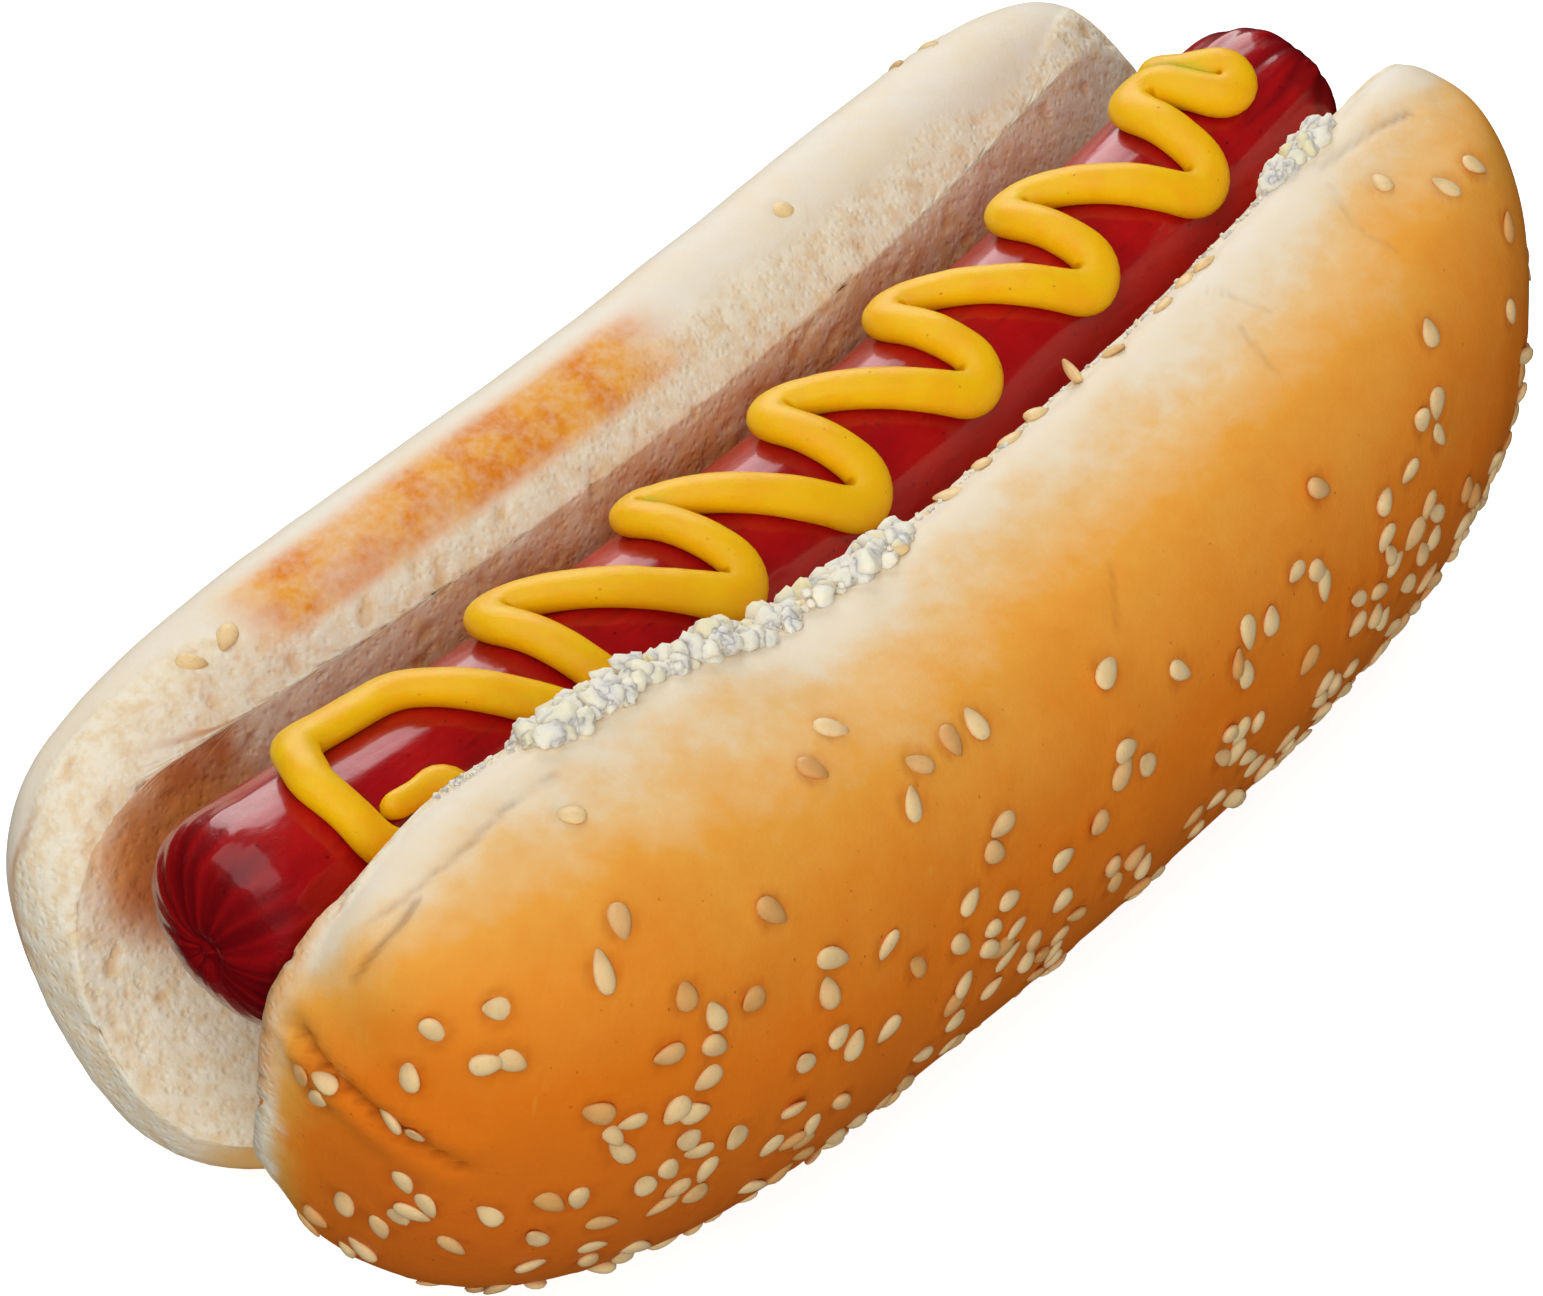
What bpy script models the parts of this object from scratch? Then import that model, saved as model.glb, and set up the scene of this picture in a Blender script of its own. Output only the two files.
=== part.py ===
"""A hot dog: a smoked sausage in a hinged sesame bun, with a zigzag of mustard squeezed along its top.

Frame: X runs along the sausage, +Z is up, and the origin is under the middle of the object, on the surface
it stands on. -Y is the seeded top half of the bun, lying on its side, and +Y is the pale half. The two
halves are one piece of bread, joined along the hinge at the bottom.

Profiles are written in millimetres, across (Y) by up (Z), and turned into metres by MM.
"""
import bmesh
import bpy
import numpy as np
from collections import namedtuple
from mathutils import Vector

MM = 0.001
GAP = 0.35                      # clearance between pieces that touch

# Sausage
SAUSAGE_LENGTH = 160.0
SAUSAGE_RADIUS = 10.5
SAUSAGE_HEIGHT = 37.5           # of its middle, on its centre line, above the hinge line
SAUSAGE_RISE = 8.0              # how far both ends bend up
CAP_LENGTH = 8.5                # rounded stretch at each end
CAP_POWER = 2.5                 # 2 is an ellipse, more is blunter
CREASES = 9                     # puckers gathered round each tip
CREASE_DEPTH = 0.55
SAUSAGE_RINGS = 31
SAUSAGE_SIDES = 36

# Mustard
BEAD_WIDTH = 4.2
BEAD_HEIGHT = 3.0
BEAD_END = 2.0                  # rounded stretch at each end of the bead
BEAD_STEP = 2.2                 # distance between stations
BEAD_TOP_SIDES = 6
PATH_EASE = 1.6                 # reach of the window that eases the path's bends
INNER_SHARE = 0.75              # the bead reaches at most this share of the way in to the middle of a bend

# Bun
HINGE_LENGTH = 121.0
SLIT_LIFT = 20.0                # how far the slit's bottom rises in the middle, where the crumb closes up
FOLD_HEIGHT = 5.0               # of the line that the halves swing about
RIM_HEIGHT = 45.0               # where the lift of the ends has its full effect
HINGE_BLEND = 0.2               # how far from the hinge one half's lean and lift run into the other's
LEAN_REACH = 90.0               # distance from the middle at which lean and lift are given
END_POWER = 3.7                 # roundness of the bun's thickness towards its ends
BASE_PRESS = 1.2                # depth of crust that the bun's own weight presses flat
BASE_SOFTNESS = 0.4             # half the height over which the crust curves into the flat base
TORN_MIDDLE = -48.0             # stretch of the seeded rim where torn crumb stands up
TORN_REACH = 26.0
TORN_RISE = 3.2
TORN_LEAN = 1.6                 # towards the sausage
BUN_ROWS = 31                   # from rim to rim over the hinge
BUN_STATIONS = 39               # from end to end

Half = namedtuple("Half", "outer inner reach power lean lift")
# outer and inner run from the hinge to the rim. reach is how far the half's ends stand past the hinge's,
# power how full they are, lean the swing towards -Y and lift the rise, at the -X and the +X end.
SEEDED = Half(
    outer=((0, 0), (-17, 1), (-33, 5), (-42, 15), (-45.5, 29), (-43.5, 43), (-36.5, 51), (-27, 52.5),
           (-19.5, 52.5), (-15.5, 50)),
    inner=((0, 8), (-4.5, 16), (-9, 26), (-11.5, 37), (-15.5, 50)),
    reach=21.0, power=(2.5, 3.7), lean=(-6.5, -2.0), lift=(9.0, 12.5))
PALE = Half(
    outer=((0, 0), (12, 0.8), (21, 5.5), (28, 17), (31, 31.5), (31, 43), (27, 51), (19.5, 51.5), (13, 46)),
    inner=((0, 8), (4.5, 16), (9, 26), (11, 37), (13, 46)),
    reach=20.5, power=2.5, lean=(-17.5, -14.5), lift=(0.5, 5.0))

# The mustard's line is a string wound round pegs. Each peg is how far along the sausage it is, how far round
# in degrees from the top towards +Y its outermost point is, and its radius. The string goes round it
# anticlockwise, or clockwise if the radius is negative, and through the point of a peg with none.
MUSTARD_PEGS = (
    (67.6, 14, 0), (65.8, -14, -2.4), (60.0, 27, 2.4), (54.8, -38, -2.6), (41.6, 33, 2.4), (37.4, -36, -2.6),
    (23.0, 35, 2.4), (19.2, -36, -2.6), (4.4, 29, 2.4), (0.8, -46, -2.6), (-14.9, 34, 2.3), (-17.6, -41, -2.5),
    (-34.7, 33, 2.4), (-37.1, -50, -2.5), (-53.5, 25, 6.0), (-60.6, 27, 3.5), (-62.5, -24, 3.2),
    (-61.9, -49, 3.6), (-56.6, -46, 2.4), (-60.4, -27, 0))


def smooth_curve(points, count):
    """Catmull-Rom curve through the points, as count points at even spacing along it."""
    knots = np.array(points, float)
    padded = np.vstack([2 * knots[0] - knots[1], knots, 2 * knots[-1] - knots[-2]])
    t = np.linspace(0, 1, 24, endpoint=False)[:, None]
    runs = []
    for a, b, c, d in zip(padded[:-3], padded[1:-2], padded[2:-1], padded[3:]):
        runs.append(b + 0.5 * t * (c - a + t * (2 * a - 5 * b + 4 * c - d + t * (3 * (b - c) + d - a))))
    dense = np.vstack(runs + [knots[-1:]])
    travel = np.concatenate([[0], np.cumsum(np.linalg.norm(np.diff(dense, axis=0), axis=1))])
    even = np.linspace(0, travel[-1], count)
    return np.stack([np.interp(even, travel, column) for column in dense.T], -1)


def even_to_sine(spread, share):
    """Stations from -1 to 1 that crowd towards the ends: a mix of even spacing and a sine's."""
    return share * np.sin(0.5 * np.pi * spread) + (1 - share) * spread


def sausage_axis(x):
    """Height of the sausage's centre line and its radius at x: a shallow arc with rounded ends."""
    along = x / (SAUSAGE_LENGTH / 2)
    height = SAUSAGE_HEIGHT + SAUSAGE_RISE * np.minimum(along ** 2, 1.3)
    past = np.clip((np.abs(x) - (SAUSAGE_LENGTH / 2 - CAP_LENGTH)) / CAP_LENGTH, 0, 1)
    return height, SAUSAGE_RADIUS * (1 - past ** CAP_POWER) ** (1 / CAP_POWER)


def make_object(name, points, faces, material):
    """An object from a grid of points in millimetres, with points that coincide welded into one."""
    mesh = bpy.data.meshes.new(name)
    mesh.from_pydata((points * MM).tolist(), [], faces)
    work = bmesh.new()
    work.from_mesh(mesh)
    bmesh.ops.remove_doubles(work, verts=work.verts, dist=0.02 * MM)
    bmesh.ops.dissolve_degenerate(work, edges=work.edges, dist=0.01 * MM)
    bmesh.ops.triangulate(work, faces=work.faces)
    if work.calc_volume(signed=True) < 0:
        bmesh.ops.reverse_faces(work, faces=work.faces)
    work.to_mesh(mesh)
    work.free()
    mesh.shade_smooth()
    mesh.materials.append(material)
    piece = bpy.data.objects.new(name, mesh)
    bpy.context.collection.objects.link(piece)
    return piece


def loop_faces(loops, sides, close_ends):
    """Quads between each closed loop of points and the next, and a face over each end if asked."""
    faces = []
    for i in range(loops - 1):
        for j in range(sides):
            k = (j + 1) % sides
            faces.append((i * sides + j, i * sides + k, (i + 1) * sides + k, (i + 1) * sides + j))
    if close_ends:
        faces.append(tuple(range(sides))[::-1])
        faces.append(tuple((loops - 1) * sides + j for j in range(sides)))
    return faces


def make_sausage(material):
    """Rings carried along the arc, closer together at the ends, where puckers run in to the tips."""
    half = SAUSAGE_LENGTH / 2
    spread = np.linspace(-1, 1, SAUSAGE_RINGS)
    x = half * (1 - 1e-4) * even_to_sine(spread, 0.85)
    height, radius = sausage_axis(x)
    turn = np.linspace(0, 2 * np.pi, SAUSAGE_SIDES, endpoint=False)
    near_tip = np.clip((np.abs(x) - (half - 1.6 * CAP_LENGTH)) / (1.6 * CAP_LENGTH), 0, 1) ** 2
    pucker = 0.5 - 0.5 * np.cos(CREASES * turn)
    depth = CREASE_DEPTH * near_tip * np.clip(radius / SAUSAGE_RADIUS * 2, 0, 1)
    ring = radius[:, None] - depth[:, None] * pucker[None]
    points = np.stack([np.broadcast_to(x[:, None], ring.shape), ring * np.sin(turn),
                       height[:, None] + ring * np.cos(turn)], -1).reshape(-1, 3)
    return make_object("sausage", points, loop_faces(SAUSAGE_RINGS, SAUSAGE_SIDES, True), material)


def even_spacing(path, spacing):
    """The path's points at that spacing along it, by straight lines between them."""
    travel = np.concatenate([[0], np.cumsum(np.linalg.norm(np.diff(path, axis=0), axis=1))])
    even = np.linspace(0, travel[-1], int(travel[-1] / spacing))
    return np.stack([np.interp(even, travel, column) for column in path.T], -1)


def mustard_path(spacing):
    """The bead's centre line unrolled, along the sausage by round it in millimetres of its surface.

    Between pegs k and k + 1, d apart in direction f, it heads h = f + asin((r_k - r_k+1) / d). Round peg k it is
    c + r (sin h, -cos h) as h turns from one heading to the next. A short Hann window then eases its bends.
    """
    per_degree = np.pi / 180 * SAUSAGE_RADIUS
    pegs = np.array(MUSTARD_PEGS, float)
    turn = pegs[:, 2]
    centre = np.stack([pegs[:, 0], pegs[:, 1] * per_degree - np.sign(pegs[:, 1]) * np.abs(turn)], -1)
    apart = np.diff(centre, axis=0)
    heading = np.arctan2(apart[:, 1], apart[:, 0])
    heading = heading + np.arcsin(-np.diff(turn) / np.linalg.norm(apart, axis=1))
    path = [centre[:1]]
    for peg in range(1, len(pegs) - 1):
        swing = (heading[peg] - heading[peg - 1]) * np.sign(turn[peg]) % (2 * np.pi) * np.sign(turn[peg])
        angle = heading[peg - 1] + np.linspace(0, swing, 25)
        path.append(centre[peg] + turn[peg] * np.stack([np.sin(angle), -np.cos(angle)], -1))
    fine = even_spacing(np.concatenate(path + [centre[-1:]]), 0.2)
    window = np.hanning(int(PATH_EASE / 0.2) * 2 + 1)
    pad = len(window) // 2
    padded = np.pad(fine, ((pad, pad), (0, 0)), mode="reflect", reflect_type="odd")
    eased = np.stack([np.convolve(column, window / window.sum(), "valid") for column in padded.T], -1)
    return even_spacing(eased, spacing)


def make_mustard(material):
    """A domed bead whose flat side follows the sausage, carried along the unrolled path and wrapped."""
    path = mustard_path(BEAD_STEP)
    along = np.gradient(path, axis=0)
    along /= np.linalg.norm(along, axis=1)[:, None]
    across = np.stack([-along[:, 1], along[:, 0]], -1)
    bend = (np.gradient(along, axis=0) * across).sum(1)[:, None] / BEAD_STEP
    travel = np.arange(len(path)) * BEAD_STEP
    from_end = np.clip(np.minimum(travel, travel[::-1]) / BEAD_END, 0.0, 1)
    swell = np.sqrt(1 - (1 - from_end) ** 2) * 0.85 + 0.15
    arc = np.linspace(-0.18, np.pi + 0.18, BEAD_TOP_SIDES + 1)
    side = np.concatenate([np.cos(arc), [-0.35, 0.35]])
    rise = np.concatenate([0.42 + 0.58 * np.sin(arc), [0, 0]])
    offset = side[None] * BEAD_WIDTH / 2 * swell[:, None]
    offset = offset * np.minimum(1, INNER_SHARE / np.maximum(offset * bend, 1e-6))
    flat = path[:, None] + across[:, None] * offset[..., None]
    height, radius = sausage_axis(flat[..., 0])
    reach = radius + GAP + BEAD_HEIGHT * rise[None] * swell[:, None]
    angle = flat[..., 1] / SAUSAGE_RADIUS
    points = np.stack([flat[..., 0], reach * np.sin(angle), height + reach * np.cos(angle)], -1)
    sides = len(side)
    return make_object("mustard", points.reshape(-1, 3), loop_faces(len(path), sides, True), material)


def bun_section():
    """Rim-to-rim rows: w from -1 on the seeded rim over 0 at the hinge to +1, and both profiles there."""
    w = even_to_sine(np.linspace(-1, 1, BUN_ROWS), 0.35)
    place = np.abs(w)[:, None] * 200
    profiles = []
    for name in ("inner", "outer"):
        rows = []
        for half in (SEEDED, PALE):
            curve = smooth_curve(getattr(half, name), 201)
            grid = np.arange(201)
            rows.append(np.concatenate([np.interp(place, grid, curve[:, 0]),
                                        np.interp(place, grid, curve[:, 1])], 1))
        profiles.append(np.where(w[:, None] < 0, rows[0], rows[1]))
    return w, profiles[0], profiles[1]


def by_half(w, x, name):
    """A half's value at each point, from one number or a pair for the -X and the +X end.

    Near the hinge one half's value runs smoothly into the other's.
    """
    seeded, pale = [np.where(x < 0, *np.broadcast_to(getattr(half, name), 2)) for half in (SEEDED, PALE)]
    share = np.clip(0.5 + 0.5 * w / HINGE_BLEND, 0, 1)
    return seeded + (pale - seeded) * share ** 2 * (3 - 2 * share)


def swing_and_press(x, y, z, w):
    """Turn a half about the fold line and lift it, more towards the ends, and press the base flat."""
    growth = (x / LEAN_REACH) ** 2
    turn = np.radians(by_half(w, x, "lean")) * growth
    up = z - FOLD_HEIGHT
    up = up + by_half(w, x, "lift") * growth * np.clip(up / RIM_HEIGHT, 0, None)
    over = FOLD_HEIGHT + y * np.sin(turn) + up * np.cos(turn) - BASE_PRESS
    curved = np.clip(over + BASE_SOFTNESS, 0, None) ** 2 / (4 * BASE_SOFTNESS)
    return y * np.cos(turn) - up * np.sin(turn), BASE_PRESS + np.where(over < BASE_SOFTNESS, curved, over)


def raise_torn_rim(x, y, z, w):
    """Lift the seeded rim's outermost rows, and lean them in, along the stretch where its crumb is torn."""
    along = np.clip(1 - ((x - TORN_MIDDLE) / TORN_REACH) ** 2, 0, 1) ** 2
    share = along * np.clip((-w - 0.7) / 0.3, 0, 1) ** 2
    return y + TORN_LEAN * share, z + TORN_RISE * share


def clear_sausage(x, y, z):
    """Move points of the slit that are inside the sausage, or nearly, straight out to its clearance."""
    height, radius = sausage_axis(x)
    distance = np.hypot(y, z - height) + 1e-9
    push = np.maximum((radius + GAP) / distance, 1)
    return y * push, height + (z - height) * push


def make_bun(material):
    """Closed loops round the bread, one for each row w: out along the crust and back along the slit.

    A row reaches x = hinge / 2 + reach (1 - |2|w| - 1|^power)^(1 / power) at its ends, where crust and slit
    meet. Between them the crust stands off the slit's profile by g = (1 - |s|^END_POWER)^(1 / END_POWER)
    of its full thickness, s from -1 to 1 along the row.
    """
    w, inner, outer = bun_section()
    s = even_to_sine(np.linspace(-1, 1, BUN_STATIONS), 0.8)
    wide, along = w[:, None], s[None, :]
    tip = np.abs(2 * np.abs(wide) - 1)
    power = by_half(wide, along, "power")
    x = (HINGE_LENGTH / 2 + by_half(wide, along, "reach") * (1 - tip ** power) ** (1 / power)) * along
    thick = (1 - np.abs(along) ** END_POWER) ** (1 / END_POWER)
    slit_lift = SLIT_LIFT * (1 - along ** 2) * (1 - np.abs(wide)) ** 2
    in_y = np.broadcast_to(inner[:, :1], x.shape)
    in_z = inner[:, 1:] + slit_lift
    out_y = inner[:, :1] + (outer[:, :1] - inner[:, :1]) * thick
    out_z = inner[:, 1:] + (outer[:, 1:] - inner[:, 1:]) * thick
    in_y, in_z = raise_torn_rim(x, *swing_and_press(x, in_y, in_z, wide), wide)
    in_y, in_z = clear_sausage(x, in_y, in_z)
    out_y, out_z = raise_torn_rim(x, *swing_and_press(x, out_y, out_z, wide), wide)
    out_y[[0, -1]], out_z[[0, -1]] = in_y[[0, -1]], in_z[[0, -1]]
    out_y[:, [0, -1]], out_z[:, [0, -1]] = in_y[:, [0, -1]], in_z[:, [0, -1]]
    crust = np.stack([x, out_y, out_z], -1)
    slit = np.stack([x, in_y, in_z], -1)[:, -2:0:-1]
    loops = np.concatenate([crust, slit], 1)
    return make_object("bun", loops.reshape(-1, 3), loop_faces(BUN_ROWS, loops.shape[1], False), material)


def make_material(name, colour, roughness):
    """A plain finish for a piece."""
    material = bpy.data.materials.new(name)
    material.use_nodes = True
    shader = material.node_tree.nodes["Principled BSDF"]
    shader.inputs["Base Color"].default_value = (*colour, 1)
    shader.inputs["Roughness"].default_value = roughness
    shader.inputs["Metallic"].default_value = 0
    return material


def stand_on_origin(pieces):
    """Shift every piece by the same amount, so the base centre of the box round them all is the origin."""
    corners = np.array([vertex.co for piece in pieces for vertex in piece.data.vertices])
    low, high = corners.min(0), corners.max(0)
    shift = Vector((-(low[0] + high[0]) / 2, -(low[1] + high[1]) / 2, -low[2]))
    for piece in pieces:
        for vertex in piece.data.vertices:
            vertex.co += shift


def main():
    for old in list(bpy.data.objects):
        bpy.data.objects.remove(old)
    bread = make_material("baked_bread", (0.72, 0.40, 0.13), 0.55)
    meat = make_material("smoked_sausage", (0.36, 0.015, 0.015), 0.25)
    sauce = make_material("yellow_mustard", (0.83, 0.42, 0.012), 0.35)
    stand_on_origin([make_bun(bread), make_sausage(meat), make_mustard(sauce)])


main()
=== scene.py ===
"""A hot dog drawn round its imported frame: hinged sesame bun, smoked sausage, mustard, seeds and crumbs.

Shapes are worked out in millimetres in the nominal frame, where the sausage's axis runs through x = 0, y = 0
and the bread's hinge line is at z = 0. PLACE moves them to the frame's own origin. -Y is the seeded half of
the bun, +Y the pale half. Everything is one object, so every piece rides on "root".
"""

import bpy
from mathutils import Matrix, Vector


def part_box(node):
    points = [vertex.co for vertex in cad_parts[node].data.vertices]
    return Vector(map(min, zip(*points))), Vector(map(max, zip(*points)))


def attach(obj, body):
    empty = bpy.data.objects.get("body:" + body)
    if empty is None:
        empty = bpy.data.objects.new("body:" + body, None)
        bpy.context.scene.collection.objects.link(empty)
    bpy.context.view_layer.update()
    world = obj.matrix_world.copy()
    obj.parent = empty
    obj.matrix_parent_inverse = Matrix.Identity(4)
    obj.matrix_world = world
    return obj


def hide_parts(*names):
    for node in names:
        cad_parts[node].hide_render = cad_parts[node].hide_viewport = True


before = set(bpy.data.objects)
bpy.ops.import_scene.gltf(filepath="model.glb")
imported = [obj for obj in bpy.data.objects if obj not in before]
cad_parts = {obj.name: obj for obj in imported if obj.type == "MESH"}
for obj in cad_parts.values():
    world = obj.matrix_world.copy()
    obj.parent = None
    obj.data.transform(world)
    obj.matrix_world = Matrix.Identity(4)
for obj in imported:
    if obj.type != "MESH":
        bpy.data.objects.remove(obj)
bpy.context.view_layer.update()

import functools
from collections import namedtuple

import bpy
import numpy as np

bl_info = {
    "name": "Hot Dog",
    "version": (1, 0, 0),
    "blender": (4, 5, 0),
    "location": "View3D > Sidebar > Hot Dog",
    "description": "Makes a hot dog in a sesame bun with a zigzag of mustard",
    "category": "Object",
}

MM = 0.001

# Sausage
SAUSAGE_LENGTH = 160.0
SAUSAGE_RADIUS = 10.5
SAUSAGE_HEIGHT = 37.5
SAUSAGE_RISE = 8.0
CAP_LENGTH = 8.5
CAP_POWER = 2.5

# Bun
HINGE_LENGTH = 121.0
SLIT_LIFT = 20.0
FOLD_HEIGHT = 5.0
RIM_HEIGHT = 45.0
HINGE_BLEND = 0.2
LEAN_REACH = 90.0
END_POWER = 3.7
BASE_PRESS = 1.2
BASE_SOFTNESS = 0.4
TORN_MIDDLE = -48.0
TORN_REACH = 26.0
TORN_RISE = 3.2
TORN_LEAN = 1.6
CRUMB_CLEARANCE = 0.12

Half = namedtuple("Half", "outer inner reach power lean lift")
SEEDED = Half(
    outer=((0, 0), (-17, 1), (-33, 5), (-42, 15), (-45.5, 29), (-43.5, 43), (-36.5, 51), (-27, 52.5),
           (-19.5, 52.5), (-15.5, 50)),
    inner=((0, 8), (-4.5, 16), (-9, 26), (-11.5, 37), (-15.5, 50)),
    reach=21.0, power=(2.5, 3.7), lean=(-6.5, -2.0), lift=(9.0, 12.5))
PALE = Half(
    outer=((0, 0), (12, 0.8), (21, 5.5), (28, 17), (31, 31.5), (31, 43), (27, 51), (19.5, 51.5), (13, 46)),
    inner=((0, 8), (4.5, 16), (9, 26), (11, 37), (13, 46)),
    reach=20.5, power=2.5, lean=(-17.5, -14.5), lift=(0.5, 5.0))

# The mustard's line is a string wound round pegs: along the sausage, how far round it in degrees from the top
# towards +Y the peg's outermost point is, and its radius. It goes round a peg anticlockwise, or clockwise if
# the radius is negative, and through the point of a peg with none.
MUSTARD_PEGS = (
    (64.0, 42, 0), (66.4, 33, 1.9), (65.5, -13, -1.9), (60.2, 27, 2.3), (54.8, -38, -2.6), (41.6, 33, 2.4),
    (37.4, -36, -2.6), (23.0, 35, 2.4), (19.2, -36, -2.6), (4.4, 29, 2.3), (0.8, -44, -2.6), (-15.2, 34, 1.3),
    (-16.9, -41, -2.5), (-34.7, 33, 2.4), (-37.1, -52, -2.5), (-53.5, 25, 6.0), (-60.6, 27, 3.5), (-62.5, -24, 3.2),
    (-61.9, -53, 3.6), (-56.8, -52, 1.8), (-62.6, -31, 0))
PATH_EASE = 1.6
INNER_SHARE = 0.72

# Creases in the crust, each a line of (station, row) with its depth and half width, how much the crust bulges
# beside it and how much it fades. Stations and rows are those of bread_shell.
Crease = namedtuple("Crease", "line depth width bulge fade")
CREASES = (
    Crease(((-0.9998, -0.69), (-0.9995, -0.663), (-0.9985, -0.637), (-0.9965, -0.62), (-0.991, -0.597),
            (-0.9841, -0.583), (-0.9725, -0.57), (-0.9586, -0.557), (-0.943, -0.548)), 1.3, 0.40, 0.8, 0.55),
    Crease(((-0.724, -0.933), (-0.79, -0.93), (-0.87, -0.915), (-0.956, -0.895), (-0.994, -0.86)),
           0.30, 0.35, 0.12, 0.3),
    Crease(((-0.943, -0.887), (-0.963, -0.863), (-0.983, -0.833), (-0.992, -0.80), (-0.9956, -0.773)),
           0.40, 0.40, 0.20, 0.4),
    Crease(((0.888, -0.905), (0.852, -0.925), (0.803, -0.94), (0.75, -0.95)), 0.30, 0.50, 0.20, 0.5),
    Crease(((0.733, -0.927), (0.69, -0.887), (0.673, -0.857), (0.674, -0.82)), 0.16, 0.26, 0.03, 0.3),
    Crease(((0.507, -0.947), (0.509, -0.923), (0.507, -0.88)), 0.16, 0.26, 0.03, 0.3),
    Crease(((0.467, -0.897), (0.446, -0.87), (0.42, -0.83)), 0.16, 0.26, 0.03, 0.3),
    Crease(((0.063, -0.817), (0.03, -0.79), (0.0, -0.763)), 0.14, 0.26, 0.03, 0.3),
)
# Seeds that lie apart from the rest: along, row, and whether the seed stands on its edge.
LONE_SEEDS = (
    (42.8, -0.980, 0), (40.0, -0.987, 0), (35.7, -0.983, 0), (28.2, -0.983, 0), (23.5, -0.990, 1),
    (17.5, -0.993, 0), (13.5, -0.993, 0), (9.0, -0.993, 0), (3.3, -0.992, 0), (-3.6, -0.980, 0), (-7.4, -0.963, 0),
    (-55.7, -0.897, 0), (-30.3, -0.847, 0), (24.1, 0.880, 0), (-52.9, 0.907, 0), (-57.0, 0.910, 0),
    (52.0, 0.80, 0), (57.0, 0.82, 0))
# Where crust gives way to crumb on the pale rim: along, row.
CUT_LINE = ((-75, 0.85), (-65, 0.865), (-57, 0.88), (-50, 0.915), (-42, 0.953), (-30, 0.957), (-14, 0.937),
            (8, 0.907), (30, 0.92), (45, 0.925), (55, 0.955), (75, 0.955))


def frame_shift():
    """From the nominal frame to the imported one, in metres: both have the sausage's box in common."""
    low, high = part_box("sausage")
    lowest = SAUSAGE_HEIGHT - SAUSAGE_RADIUS
    return np.array([(low.x + high.x) / 2, (low.y + high.y) / 2, low.z - lowest * MM])


PLACE = frame_shift()


# ------------------------------------------------------------------------------------------------ curves, noise


def smooth_curve(points, count):
    """Catmull-Rom curve through the points, as count points at even spacing along it."""
    knots = np.array(points, float)
    padded = np.vstack([2 * knots[0] - knots[1], knots, 2 * knots[-1] - knots[-2]])
    t = np.linspace(0, 1, 24, endpoint=False)[:, None]
    runs = []
    for a, b, c, d in zip(padded[:-3], padded[1:-2], padded[2:-1], padded[3:]):
        runs.append(b + 0.5 * t * (c - a + t * (2 * a - 5 * b + 4 * c - d + t * (3 * (b - c) + d - a))))
    dense = np.vstack(runs + [knots[-1:]])
    travel = np.concatenate([[0], np.cumsum(np.linalg.norm(np.diff(dense, axis=0), axis=1))])
    even = np.linspace(0, travel[-1], count)
    return np.stack([np.interp(even, travel, column) for column in dense.T], -1)


def step(value, low, high):
    """Smoothstep: 0 below low, 1 above high, 3t^2 - 2t^3 between. high may be the smaller one."""
    t = np.clip((value - low) / (high - low), 0, 1)
    return t * t * (3 - 2 * t)


def hashed(cell, seed):
    """A number from 0 to 1 for each whole-number cell: its three indices mixed by integer products."""
    mask = 0xFFFFFFFF
    mixed = (cell[..., 0] * 374761393 + cell[..., 1] * 668265263 + cell[..., 2] * 974634777 + seed * 362437) & mask
    mixed = ((mixed ^ (mixed >> 13)) * 1274126177) & mask
    mixed = ((mixed ^ (mixed >> 15)) * 461845907) & mask
    return ((mixed ^ (mixed >> 16)) & 0xFFFFFF) / 0xFFFFFF


def noise(points, size, seed):
    """Value noise from -1 to 1: hashed numbers at a lattice's corners, blended by smoothstep within a cell."""
    scaled = points / size
    cell = np.floor(scaled).astype(np.int64)
    t = scaled - cell
    t = t * t * (3 - 2 * t)
    total = np.zeros(points.shape[:-1])
    for corner in np.ndindex(2, 2, 2):
        share = np.prod(np.where(np.array(corner) == 1, t, 1 - t), axis=-1)
        total += share * hashed(cell + np.array(corner), seed)
    return 2 * total - 1


def layered(points, size, seed, layers=3, keep=0.5):
    """Layers of noise, each half the size of the one before and keep times as strong."""
    total = 0
    for layer in range(layers):
        total = total + keep ** layer * noise(points, size / 2 ** layer, seed + layer)
    return total


def cells(points, size, seed):
    """Cellular noise: distance to the nearest of one random point per lattice cell, in cells, and its hash."""
    scaled = points / size
    home = np.floor(scaled).astype(np.int64)
    best = np.full(points.shape[:-1], 9.0)
    name = np.zeros(points.shape[:-1])
    for offset in np.ndindex(3, 3, 3):
        cell = home + np.array(offset) - 1
        centre = cell + np.stack([hashed(cell, seed + axis) for axis in range(3)], -1)
        distance = np.linalg.norm(scaled - centre, axis=-1)
        closer = distance < best
        best = np.where(closer, distance, best)
        name = np.where(closer, hashed(cell, seed + 7), name)
    return best, name


def nearest_on_line(points, line):
    """Distance from each point to the nearest of a line's points, and how far along the line that is, 0 to 1."""
    distance = np.linalg.norm(points[:, None] - line[None], axis=-1)
    index = distance.argmin(1)
    return distance[np.arange(len(points)), index], index / (len(line) - 1)


# ---------------------------------------------------------------------------------------------------- meshes


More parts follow.
